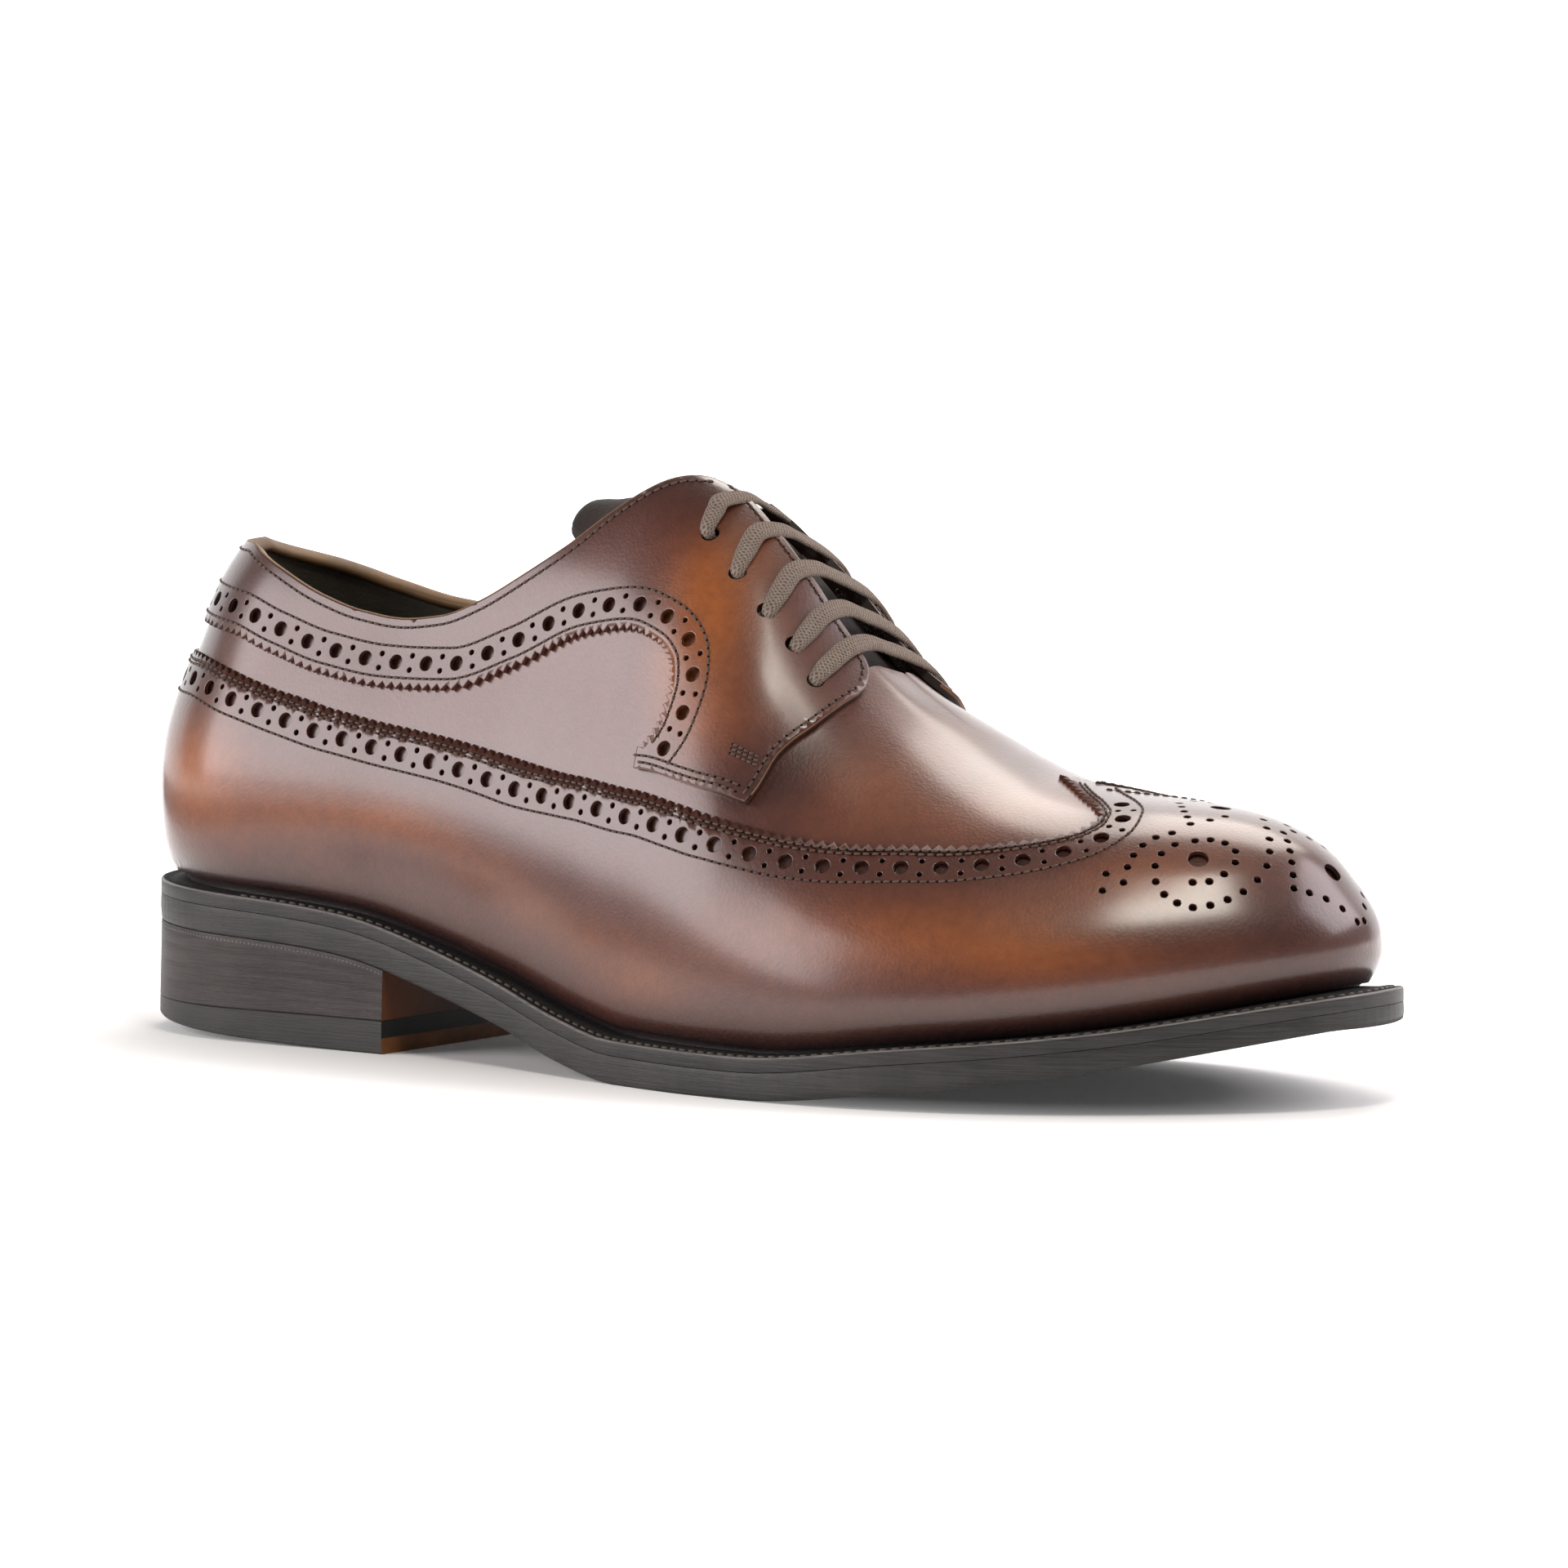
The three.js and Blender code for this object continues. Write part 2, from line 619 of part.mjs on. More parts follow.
const outsole = () =>
  stack([
    outlineLoop(-WELT_INWARDS, above(-WELT - GAP)),
    outlineLoop(reachAt, above(-WELT - GAP)),
    outlineLoop((x) => reachAt(x) - 0.2, (x) => underHeight(x) + 0.8),
    outlineLoop((x) => reachAt(x) - 1, underHeight),
  ]);

const heelFront = roundAt(BREAST);
const heelLift = () =>
  stack([
    outlineLoop((x) => reachAt(x) - 0.6, (x) => underHeight(x) - GAP, heelFront, 18),
    outlineLoop((x) => reachAt(x) - 0.2, () => TOP_PIECE, heelFront, 18),
  ]);

const topPiece = () =>
  stack([
    outlineLoop((x) => reachAt(x) - 0.2, () => TOP_PIECE, heelFront, 18),
    outlineLoop((x) => reachAt(x) - 0.2, () => 0.8, heelFront, 18),
    outlineLoop((x) => reachAt(x) - 0.8, () => 0, heelFront, 18),
  ]);

// Lace: one cord in five straight bars, with its runs under the facings.
// Hole counts from the lowest pair; shift moves a run beside the holes.
const LACE_ROUTE = [
  { from: OUTER, hole: 3, to: INNER },
  { run: INNER, start: 3, end: 1, shift: -0.04 },
  { from: INNER, hole: 1, to: OUTER },
  { run: OUTER, start: 1, end: 0, shift: 0 },
  { from: OUTER, hole: 0, to: INNER },
  { run: INNER, start: 0, end: 2, shift: 0.04 },
  { from: INNER, hole: 2, to: OUTER },
  { run: OUTER, start: 2, end: 4, shift: -0.04 },
  { from: OUTER, hole: 4, to: INNER },
];
const OVER = FACING_GAP + FACING + GAP + LACE / 2;
const UNDER = FACING_GAP - GAP - LACE / 2 - 0.1;

function lacePoint(hole, side, distance, shift = 0) {
  const { round, girth } = EYELETS[hole];
  return offSkin(round, side, girth + shift, distance);
}

function laceBar({ from, hole, to }) {
  const points = [lacePoint(hole, from, UNDER), lacePoint(hole, from, FACING_GAP + FACING / 2)];
  points.push(lacePoint(hole, from, OVER - 0.1));
  const { round, girth } = EYELETS[hole];
  for (const share of [0.14, 0.45, 0.8]) {
    points.push(offSkin(round, from, girth + (1 - girth) * share, OVER));
  }
  for (const share of [0.8, 0.45, 0.14]) {
    points.push(offSkin(round, to, girth + (1 - girth) * share, OVER));
  }
  points.push(lacePoint(hole, to, OVER - 0.1));
  points.push(lacePoint(hole, to, FACING_GAP + FACING / 2), lacePoint(hole, to, UNDER));
  return points;
}

function laceRun({ run, start, end, shift }) {
  const points = [];
  const a = EYELETS[start];
  const b = EYELETS[end];
  for (const share of [0.25, 0.5, 0.75]) {
    const round = a.round + (b.round - a.round) * share;
    const girth = a.girth + (b.girth - a.girth) * share;
    points.push(offSkin(round, run, girth + shift, UNDER));
  }
  return points;
}

function lace() {
  const points = LACE_ROUTE.flatMap((part) => (part.hole === undefined ? laceRun(part) : laceBar(part)));
  const path = new THREE.CatmullRomCurve3(points, false, 'centripetal');
  const section = new THREE.Shape();
  section.absarc(0, 0, LACE / 2, 0, Math.PI * 2, false);
  const cord = new THREE.ExtrudeGeometry(section, { steps: 180, extrudePath: path, curveSegments: 3 });
  cord.deleteAttribute('normal');
  cord.deleteAttribute('uv');
  return outwards(mergeVertices(cord, 1e-4));
}

// Colours
const leather = { color: 0x6b3a22, roughness: 0.35, metalness: 0 };
const pieces = [
  { name: 'upper', geometry: upper(), ...leather },
  { name: 'facing_lateral', geometry: facing(OUTER), ...leather, color: 0x74401f },
  { name: 'facing_medial', geometry: facing(INNER), ...leather, color: 0x74401f },
  { name: 'tongue', geometry: tongue(), ...leather, color: 0x4a2c1e },
  { name: 'insole', geometry: insole(), color: 0x8a6a48, roughness: 0.7, metalness: 0 },
  { name: 'welt', geometry: welt(), color: 0x2b2320, roughness: 0.5, metalness: 0 },
  { name: 'outsole', geometry: outsole(), color: 0x2b2320, roughness: 0.45, metalness: 0 },
  { name: 'heel_lift', geometry: heelLift(), color: 0x332824, roughness: 0.45, metalness: 0 },
  { name: 'heel_top_piece', geometry: topPiece(), color: 0x2a211e, roughness: 0.5, metalness: 0 },
  { name: 'lace', geometry: lace(), color: 0x6a584c, roughness: 0.85, metalness: 0 },
];

const shoe = new THREE.Group();
for (const { name, geometry, ...look } of pieces) {
  geometry.computeVertexNormals();
  const mesh = new THREE.Mesh(geometry, new THREE.MeshStandardMaterial(look));
  mesh.name = name;
  shoe.add(mesh);
}

export default shoe;
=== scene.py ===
import math

import bmesh
import bpy
import numpy as np
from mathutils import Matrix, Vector, geometry, kdtree


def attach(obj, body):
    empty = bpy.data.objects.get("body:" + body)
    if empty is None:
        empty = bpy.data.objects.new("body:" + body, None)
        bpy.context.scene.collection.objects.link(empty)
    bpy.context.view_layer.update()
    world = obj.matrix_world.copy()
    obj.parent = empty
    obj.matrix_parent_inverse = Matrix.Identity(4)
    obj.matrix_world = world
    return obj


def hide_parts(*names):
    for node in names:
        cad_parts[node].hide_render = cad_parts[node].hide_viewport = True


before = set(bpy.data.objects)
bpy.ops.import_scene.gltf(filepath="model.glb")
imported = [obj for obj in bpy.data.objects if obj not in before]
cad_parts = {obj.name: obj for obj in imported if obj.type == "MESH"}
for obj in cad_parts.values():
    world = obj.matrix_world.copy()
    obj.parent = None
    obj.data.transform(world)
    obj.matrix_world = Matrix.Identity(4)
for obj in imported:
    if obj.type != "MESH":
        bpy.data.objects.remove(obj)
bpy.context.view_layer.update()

MM = 0.001

# Vamp and quarters
# The lined calf body of the shoe, lasted over a foot form and open at the
# collar and the throat. Everything above the sole is laid on its skin.
FEATHER_BACK = -27.5
FEATHER_LENGTH = 284.0
BALL_WIDTH = 95.5
SEAT_HEIGHT = 31.1
INSTEP_HEIGHT = 121.5
SIDE_BULGE = 5.0
WELT_REACH = 6.5
TOE_SWING = 5.0
HEEL_ROUND = 0.13
TOE_ROUND = 0.27
FAN_POWER = 1.6
HEEL_ROUND_POWER = 2.2
TOE_ROUND_POWER = 2.15
THROAT_SAG, THROAT_RISE = 6.0, 1.7
TUCK, TUCK_HIGH = 2.2, 9.0
RIDGE_BACK = 0.118
HEEL_FAN = 0.238
TOE_FAN = 0.695
RIDGE_FRONT = 0.8926
WALL = 1.4
OUTER, INNER = -1, 1

# share of the length, outer and inner half width as shares of the ball width
WIDTHS = np.array([
    (0.0, 0.33, 0.33), (0.1, 0.33, 0.333), (0.24, 0.333, 0.304), (0.355, 0.366, 0.272),
    (0.475, 0.45, 0.298), (0.6, 0.534, 0.393), (0.7, 0.555, 0.445), (0.785, 0.534, 0.45),
    (0.865, 0.492, 0.429), (0.94, 0.44, 0.393), (1.0, 0.408, 0.361),
])
# share of the length, then outer welt, inner welt and underside as shares of the seat height
SOLE_HEIGHTS = np.array([
    (-0.0264, 1.045, 1.045, 0.7621), (0.0968, 1.0, 1.0, 0.717), (0.1673, 0.9614, 0.9614, 0.6849),
    (0.2201, 0.9132, 0.926, 0.6367), (0.3011, 0.7524, 0.8039, 0.463), (0.3785, 0.5595, 0.6367, 0.2733),
    (0.4489, 0.3794, 0.4695, 0.0836), (0.5053, 0.2862, 0.3633, 0.0), (0.625, 0.2765, 0.283, 0.0),
    (0.7482, 0.3923, 0.3923, 0.1029), (0.8715, 0.5241, 0.5241, 0.2605), (1.0123, 0.7717, 0.7717, 0.5273),
])
# share of the length, ridge height as a share of the instep height
RIDGE = np.array([
    (-0.0264, 0.9053), (0.0968, 0.9218), (0.2377, 0.963), (0.3785, 1.0), (0.4489, 1.0),
    (0.5053, 0.9712), (0.5475, 0.9053), (0.5757, 0.8436), (0.6039, 0.7654), (0.632, 0.6955),
    (0.6602, 0.6379), (0.6884, 0.5885), (0.7201, 0.5481), (0.7658, 0.5062), (0.8222, 0.4807),
    (0.8644, 0.4724), (0.9067, 0.4609), (0.9419, 0.4403),
])
# share of the length, squareness of the half section, share of the side bulge
SECTIONS = np.array([
    (0.0, 2.3, 0.6), (0.12, 2.3, 0.72), (0.3, 2.2, 1.0), (0.45, 2.1, 0.8), (0.6, 2.1, 0.5),
    (0.8, 2.2, 0.4), (1.0, 2.4, 0.4),
])
# share of the length, reach of the welt as a share of its furthest reach
REACH = np.array([
    (-0.0088, 0.538), (0.2201, 0.585), (0.3785, 0.769), (0.5194, 0.923), (0.8011, 1.0), (1.0123, 1.0),
])


def through(table, column, at):
    """A smooth line through one column of a table."""
    xs, ys = table[:, 0], table[:, column]
    span = np.diff(xs)
    rise = np.diff(ys) / span
    slope = np.concatenate([rise[:1], np.zeros(len(xs) - 2), rise[-1:]])
    both = rise[:-1] * rise[1:]
    total = rise[:-1] + rise[1:]
    steady = both > 0
    slope[1:-1][steady] = 2 * both[steady] / total[steady]
    at = np.clip(np.asarray(at, float), xs[0], xs[-1])
    row = np.clip(np.searchsorted(xs, at) - 1, 0, len(xs) - 2)
    t = (at - xs[row]) / span[row]
    start = ys[row] * (1 + 2 * t) * (1 - t) ** 2 + slope[row] * span[row] * t * (1 - t) ** 2
    end = ys[row + 1] * t * t * (3 - 2 * t) - slope[row + 1] * span[row] * t * t * (1 - t)
    return start + end


def ease(value):
    value = np.clip(value, 0, 1)
    return value * value * (3 - 2 * value)


def along_at(x):
    return (x - FEATHER_BACK) / FEATHER_LENGTH


def x_at(share):
    return FEATHER_BACK + share * FEATHER_LENGTH


def round_at(x):
    return np.arccos(1 - 2 * np.clip(along_at(x), 0, 1)) / np.pi


def swing(share):
    return TOE_SWING * ease((share - 0.55) / 0.45)


def ridge_height(x):
    return INSTEP_HEIGHT * through(RIDGE, 1, along_at(x))


def welt_height(x, side):
    share = along_at(x)
    low, high = through(SOLE_HEIGHTS, 1, share), through(SOLE_HEIGHTS, 2, share)
    return SEAT_HEIGHT * np.where(np.asarray(side) < 0, low, high)


def under_height(x):
    return SEAT_HEIGHT * through(SOLE_HEIGHTS, 3, along_at(x))


def reach_at(x):
    return WELT_REACH * through(REACH, 1, along_at(x))


def feather(rounds, side):
    """Points of the foot outline at the top of the welt."""
    share = (1 - np.cos(np.pi * rounds)) / 2
    back = np.clip(1 - share / HEEL_ROUND, 0, 1) ** HEEL_ROUND_POWER
    front = np.clip(1 - (1 - share) / TOE_ROUND, 0, 1) ** TOE_ROUND_POWER
    rounding = (1 - back) ** (1 / HEEL_ROUND_POWER) * (1 - front) ** (1 / TOE_ROUND_POWER)
    half = np.where(np.asarray(side) < 0, through(WIDTHS, 1, share), through(WIDTHS, 2, share))
    x = x_at(share)
    y = swing(share) + side * BALL_WIDTH * half * rounding
    return np.stack([x, y, welt_height(x, side)], -1)


def ridge_x(x):
    share = along_at(x)
    heel = RIDGE_BACK + (HEEL_FAN - RIDGE_BACK) * (np.clip(share, 0, 1) / HEEL_FAN) ** FAN_POWER
    toe = np.clip((share - TOE_FAN) / (1 - TOE_FAN), 0, 1)
    front = TOE_FAN + (RIDGE_FRONT - TOE_FAN) * (1 - (1 - toe) ** FAN_POWER)
    return x_at(np.where(share < HEEL_FAN, heel, np.where(share < TOE_FAN, share, front)))


def skin(side, rounds, girth):
    """Points of the outer skin. Rounds runs from the heel 0 to the toe 1 along
    a side, and girth from the welt 0 to the ridge 1."""
    side, rounds, girth = np.broadcast_arrays(np.asarray(side, float), rounds, girth)
    side = np.where((rounds < 0) | (rounds > 1), -side, side)
    rounds = np.where(rounds > 1, 2 - rounds, np.abs(rounds))
    foot = feather(rounds, side)
    share = (1 - np.cos(np.pi * rounds)) / 2
    x = ridge_x(foot[..., 0])
    ridge = np.stack([x, swing(along_at(x)), ridge_height(x)], -1)
    across = ridge[..., :2] - foot[..., :2]
    length = np.linalg.norm(across, axis=-1)
    across = across / length[..., None]
    height = ridge[..., 2] - foot[..., 2]
    power = through(SECTIONS, 1, share)
    bulge = SIDE_BULGE * through(SECTIONS, 2, share)
    angle = np.clip(girth, 0, 1) * np.pi / 2
    sine, cosine = np.sin(angle), np.clip(np.cos(angle), 0, 1)
    rise = height * sine ** (2 / power)
    reach = length * (1 - cosine ** (2 / power))
    level = rise / height
    low_curve = np.sin(np.pi * np.minimum(level, 0.31) / 0.62)
    high_curve = 0.5 + 0.5 * np.cos(np.pi * np.clip((level - 0.31) / 0.39, 0, 1))
    reach = reach - bulge * low_curve * high_curve
    reach = reach + TUCK * np.clip(1 - rise / TUCK_HIGH, 0, 1) ** 2
    slope = (ridge_height(x + 1) - ridge_height(x - 1)) / 2
    lean = across[..., 0] * slope * (length - reach) * sine ** 3
    plan = foot[..., :2] + across * reach[..., None]
    outer_sag = 0.6 * ease((girth - 0.86) / 0.14)
    inner_sag = (0.6 + 0.4 * ease((1 - girth) / 0.15)) * ease((girth - 0.35) / 0.4)
    sag = THROAT_SAG * np.where(side < 0, outer_sag, inner_sag) * ease((x - 82) / 22) * ease((172 - x) / 30)
    near_lace = np.where(side < 0, ease((girth - 0.6) / 0.3), ease((girth - 0.86) / 0.14))
    sag = sag - THROAT_RISE * near_lace * ease((x - 84) / 18) * ease((152 - x) / 50)
    return np.concatenate([plan, (foot[..., 2] + rise - lean - sag)[..., None]], -1)


def unit(vectors):
    return vectors / np.maximum(np.linalg.norm(vectors, axis=-1, keepdims=True), 1e-9)


def square(side, rounds, girth):
    """Unit vectors square to the skin, pointing out."""
    side, rounds, girth = np.broadcast_arrays(np.asarray(side, float), rounds, girth)
    step = 0.004
    along = skin(side, rounds + step, girth) - skin(side, rounds - step, girth)
    up = skin(side, rounds, np.minimum(girth + step, 1)) - skin(side, rounds, np.maximum(girth - step, 0))
    out = unit(np.cross(along, up) * -side[..., None])
    out[..., 2] *= np.minimum(1, girth / 0.012)
    x = skin(side, rounds, girth)[..., 0]
    slope = (ridge_height(x + 1) - ridge_height(x - 1)) / 2
    top = np.stack([-slope, np.zeros_like(x), np.ones_like(x)], -1)
    return unit(np.where(girth[..., None] > 0.996, unit(top), unit(out)))


def lift(side, rounds, girth, distance):
    """Points at a distance from the skin."""
    away = np.broadcast_to(np.asarray(distance, float), np.broadcast(side, rounds, girth).shape)
    return skin(side, rounds, girth) + square(side, rounds, girth) * away[..., None]


# a fine net over the skin, to find the place of any point near it
NET_ROUNDS, NET_GIRTH = np.meshgrid(np.linspace(0, 1, 420), np.linspace(0, 1, 170), indexing="ij")
net_side = np.repeat([OUTER, INNER], NET_ROUNDS.size)
net_rounds = np.tile(NET_ROUNDS.ravel(), 2)
net_girth = np.tile(NET_GIRTH.ravel(), 2)
net_points = skin(net_side, net_rounds, net_girth)
net_tree = kdtree.KDTree(len(net_points))
for net_index, net_point in enumerate(net_points):
    net_tree.insert(net_point, net_index)
net_tree.balance()


def seat(points):
    """Side, rounds and girth of the places on the skin next to the points."""
    flat = points.reshape(-1, 3)
    index = np.array([net_tree.find(p)[1] for p in flat])
    side, rounds, girth = net_side[index].astype(float), net_rounds[index].copy(), net_girth[index].copy()
    for _ in range(2):
        here = skin(side, rounds, girth)
        step = 1e-3
        along = (skin(side, rounds + step, girth) - skin(side, rounds - step, girth)) / (2 * step)
        low, high = np.maximum(girth - step, 0), np.minimum(girth + step, 1)
        up = (skin(side, rounds, high) - skin(side, rounds, low)) / (high - low)[:, None]
        miss = flat - here
        aa, ab, bb = (along * along).sum(1) + 1e-6, (along * up).sum(1), (up * up).sum(1) + 1e-6
        am, bm = (along * miss).sum(1), (up * miss).sum(1)
        area = np.maximum(aa * bb - ab * ab, 1e-6)
        move_round = np.clip((am * bb - bm * ab) / area, -0.004, 0.004)
        move_girth = np.clip((bm * aa - am * ab) / area, -0.008, 0.008)
        rounds, girth = rounds + move_round, girth + move_girth
        side = np.where((rounds < 0) | (rounds > 1) | (girth > 1), -side, side)
        rounds = np.where(rounds > 1, 2 - rounds, np.abs(rounds))
        girth = np.clip(np.where(girth > 1, 2 - girth, girth), 0, 1)
    shape = points.shape[:-1]
    return side.reshape(shape), rounds.reshape(shape), girth.reshape(shape)


def trace(places, side, spacing):
    """Even steps along a smooth line through (rounds, girth) places of a side."""
    places = np.array(places, float)
    run = np.concatenate([[0], np.cumsum(np.hypot(np.diff(places[:, 0]) * 330, np.diff(places[:, 1]) * 105))])
    fine = np.linspace(0, run[-1], 900)
    rounds = through(np.stack([run, places[:, 0]], 1), 1, fine)
    girth = through(np.stack([run, places[:, 1]], 1), 1, fine)
    points = skin(side, rounds, girth)
    length = np.concatenate([[0], np.cumsum(np.linalg.norm(np.diff(points, axis=0), axis=1))])
    even = np.linspace(0, length[-1], max(2, int(round(length[-1] / spacing)) + 1))
    return np.full(len(even), float(side)), np.interp(even, length, rounds), np.interp(even, length, girth)


def beside(line, distance):
    """The line moved sideways over the skin: up and to the back is positive."""
    side, rounds, girth = line
    points = skin(*line)
    forward = unit(np.gradient(points, axis=0))
    away = np.cross(square(*line), forward) * -side[:, None]
    return seat(points + away * np.broadcast_to(np.asarray(distance, float), rounds.shape)[:, None])


def join(*lines):
    return tuple(np.concatenate(parts) for parts in zip(*lines))


def backwards(line):
    return tuple(part[::-1] for part in line)


# places along the lines of each side, from the back seam to the front
COLLAR = {
    OUTER: [(0, 0.69), (0.14, 0.675), (0.177, 0.64), (0.213, 0.595), (0.271, 0.51), (0.305, 0.475),
            (0.335, 0.462), (0.361, 0.472), (0.383, 0.502), (0.407, 0.56), (0.431, 0.64),
            (0.451, 0.735), (0.467, 0.803), (0.48, 0.856), (0.492, 0.893)],
    INNER: [(0, 0.69), (0.14, 0.6), (0.177, 0.565), (0.213, 0.525), (0.271, 0.473), (0.305, 0.46),
            (0.335, 0.462), (0.361, 0.485), (0.383, 0.52), (0.407, 0.568), (0.431, 0.64),
            (0.451, 0.73), (0.467, 0.795), (0.48, 0.845), (0.492, 0.887)],
}
LACE_EDGE = [(0.501, 0.905), (0.513, 0.888), (0.527, 0.876), (0.543, 0.864), (0.559, 0.86),
             (0.573, 0.856), (0.581, 0.85), (0.5865, 0.83), (0.59, 0.79)]
FRONT_EDGE = [(0.59, 0.76), (0.587, 0.687), (0.583, 0.614), (0.577, 0.541), (0.573, 0.49),
              (0.571, 0.444), (0.569, 0.41), (0.566, 0.378)]
FOOT_EDGE = [(0.56, 0.37), (0.535, 0.338), (0.502, 0.318)]
WING_HOLES = [(0, 0.322), (0.06, 0.327), (0.139, 0.324), (0.213, 0.290), (0.259, 0.263), (0.301, 0.243),
              (0.343, 0.236), (0.381, 0.236), (0.419, 0.236), (0.459, 0.247), (0.499, 0.255),
              (0.539, 0.270), (0.573, 0.309), (0.609, 0.359), (0.645, 0.417), (0.685, 0.475),
              (0.729, 0.556), (0.751, 0.625), (0.761, 0.722), (0.757, 0.815), (0.742, 0.89),
              (0.72, 0.955), (0.705, 1.0)]
WING_EDGE = [(0, 0.373), (0.06, 0.378), (0.12, 0.378), (0.162, 0.368), (0.196, 0.351), (0.226, 0.331),
             (0.252, 0.313), (0.276, 0.301), (0.299, 0.288), (0.34, 0.278), (0.399, 0.276),
             (0.454, 0.281), (0.506, 0.293), (0.542, 0.313), (0.576, 0.361), (0.612, 0.421),
             (0.648, 0.491), (0.685, 0.559), (0.705, 0.6), (0.723, 0.642), (0.735, 0.692),
             (0.74, 0.76), (0.73, 0.825), (0.711, 0.89), (0.694, 0.945), (0.675, 1.0)]
FACING_HOLES = [(0, 0.515), (0.1, 0.508), (0.185, 0.483), (0.237, 0.436), (0.285, 0.394), (0.327, 0.378),
                (0.373, 0.386), (0.409, 0.436), (0.447, 0.514), (0.469, 0.537), (0.491, 0.552),
                (0.509, 0.545), (0.521, 0.521), (0.525, 0.467), (0.523, 0.405), (0.515, 0.344),
                (0.510, 0.325)]
EYELETS = [(0.574, 0.688), (0.56, 0.7), (0.545, 0.697), (0.527, 0.71), (0.508, 0.737)]


def merged(points, faces, face_looks=None, normals=None, tints=None):
    """Joins points that lie on each other, and drops the faces that this closes."""
    keys = np.round(np.asarray(points) * 500).astype(np.int64)
    _, first, back = np.unique(keys, axis=0, return_index=True, return_inverse=True)
    back = back.ravel()
    kept_faces, kept_looks, kept_normals, corner = [], [], [], 0
    for index, face in enumerate(faces):
        loop, place = [], []
        for step, point in enumerate(face):
            number = int(back[point])
            if number not in loop:
                loop.append(number)
                place.append(corner + step)
        corner += len(face)
        if len(loop) > 2:
            kept_faces.append(loop)
            kept_normals.extend(place)
            if face_looks is not None:
                kept_looks.append(face_looks[index])
    return (np.asarray(points)[first], kept_faces, kept_looks if face_looks is not None else None,
            None if normals is None else np.asarray(normals)[kept_normals],
            None if tints is None else np.asarray(tints)[first])


def make_piece(name, points, faces, looks, face_looks=None, normals=None, tints=None):
    """A closed piece from millimetre points, with its own corner normals."""
    points, faces, face_looks, normals, tints = merged(points, faces, face_looks, normals, tints)
    mesh = bpy.data.meshes.new(name)
    mesh.from_pydata((points * MM).tolist(), [], faces)
    for look in looks:
        mesh.materials.append(look)
    if face_looks is not None:
        mesh.polygons.foreach_set("material_index", np.asarray(face_looks, dtype=np.int32))
    mesh.polygons.foreach_set("use_smooth", np.ones(len(mesh.polygons), dtype=bool))
    if tints is not None:
        layer = mesh.attributes.new("patina_and_painted_light", "FLOAT_COLOR", "POINT")
        layer.data.foreach_set("color", np.asarray(tints, dtype=np.float32).ravel())
    mesh.update()
    if normals is not None:
        mesh.normals_split_custom_set(normals.tolist())
    piece = bpy.data.objects.new(name, mesh)
    bpy.context.scene.collection.objects.link(piece)
    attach(piece, "root")
    return piece


# how the calf was burnished: x, height and their spreads in mm, then tan and dark.
# The tan spots lie where the leather reflects no lamp, partly rubbed tan and partly painted reflection;
# the thin dark bands along the waist and the toe side are painted reflection too.
BURNISH_AND_REFLECTION = [
    (121, 101, 9, 11, 0.6, 0.0), (124, 88, 9, 12, 0.95, 0.0), (129, 73, 9, 8, 0.55, 0.0),
    # painted reflection: a tan band with a dark middle, from the heel side down along the waist
    (-8, 58, 13, 11, 0.9, 0.0), (6, 50, 20, 8, 0.4, 0.0), (32, 50, 15, 5, 0.45, 0.0), (50, 49.5, 11, 4, 0.5, 0.0),
    (63, 46.5, 11, 4.2, 0.4, 0.1), (77, 40.5, 11, 4.2, 0.45, 0.15), (90, 33.5, 11, 4.2, 0.45, 0.15),
    (104, 28.5, 12, 4.2, 0.4, 0.15),
    (122, 22, 14, 5, 0.45, 0.0),
    # partly painted reflection: tan along the toe side where it reflects no lamp, with the thin dark (226, 36) spot
    # further down
    (160, 32, 24, 8, 0.3, 0.0), (192, 34, 22, 7, 0.5, 0.0), (214, 32, 18, 6, 0.5, 0.0), (226, 45, 14, 6, 0.4, 0.0),
    (165, 62, 10, 9, 0.3, 0.0), (190, 57, 16, 6, 0.3, 0.0),
    (-18, 88, 12, 14, 0.0, 0.5), (112, 117, 16, 7, 0.0, 0.45), (0, 97, 20, 6, 0.0, 0.3), (-20, 72, 12, 14, 0.0, 0.4),
    (150, 62, 8, 8, 0.0, 0.45), (140, 60, 6, 6, 0.0, 0.3), (226, 36, 26, 4, 0.0, 0.3), (250, 40, 12, 12, 0.0, 0.3),
    (60, 58, 26, 4, 0.0, 0.15),
]


def patina_and_painted_light(side, rounds, girth, near=None):
    """Tan, dark and edge shares of the finish, from the place on the skin. The dark share holds painted shade in a band
    just above the welt, and the table's spots hold painted reflection.
    """
    points = skin(side, rounds, girth)
    tan = np.zeros(rounds.shape)
    dark = np.zeros(rounds.shape)
    for x, z, wide, high, more_tan, more_dark in BURNISH_AND_REFLECTION:
        spot = np.exp(-((points[..., 0] - x) / wide) ** 2 - ((points[..., 2] - z) / high) ** 2)
        tan = tan + more_tan * spot
        dark = dark + more_dark * spot
    # painted shade, not wax: the dark share is full in a band a few mm high just above the welt, where its ledge shades
    # the upper, with a fainter darkening up to about 8 mm; the width named waxed is that band's height in mm
    rise = points[..., 2] - feather(rounds, side)[..., 2]
    waxed = 4.6 - 1.2 * ease((points[..., 0] - 60) / 50)
    dark = dark + 0.95 * np.exp(-(rise / waxed) ** 2) + 0.3 * np.exp(-(rise / 8.0) ** 2)
    edge = np.zeros(rounds.shape) if near is None else near
    return np.stack([np.clip(tan, 0, 1), np.clip(dark, 0, 1), edge, np.ones(rounds.shape)], -1)


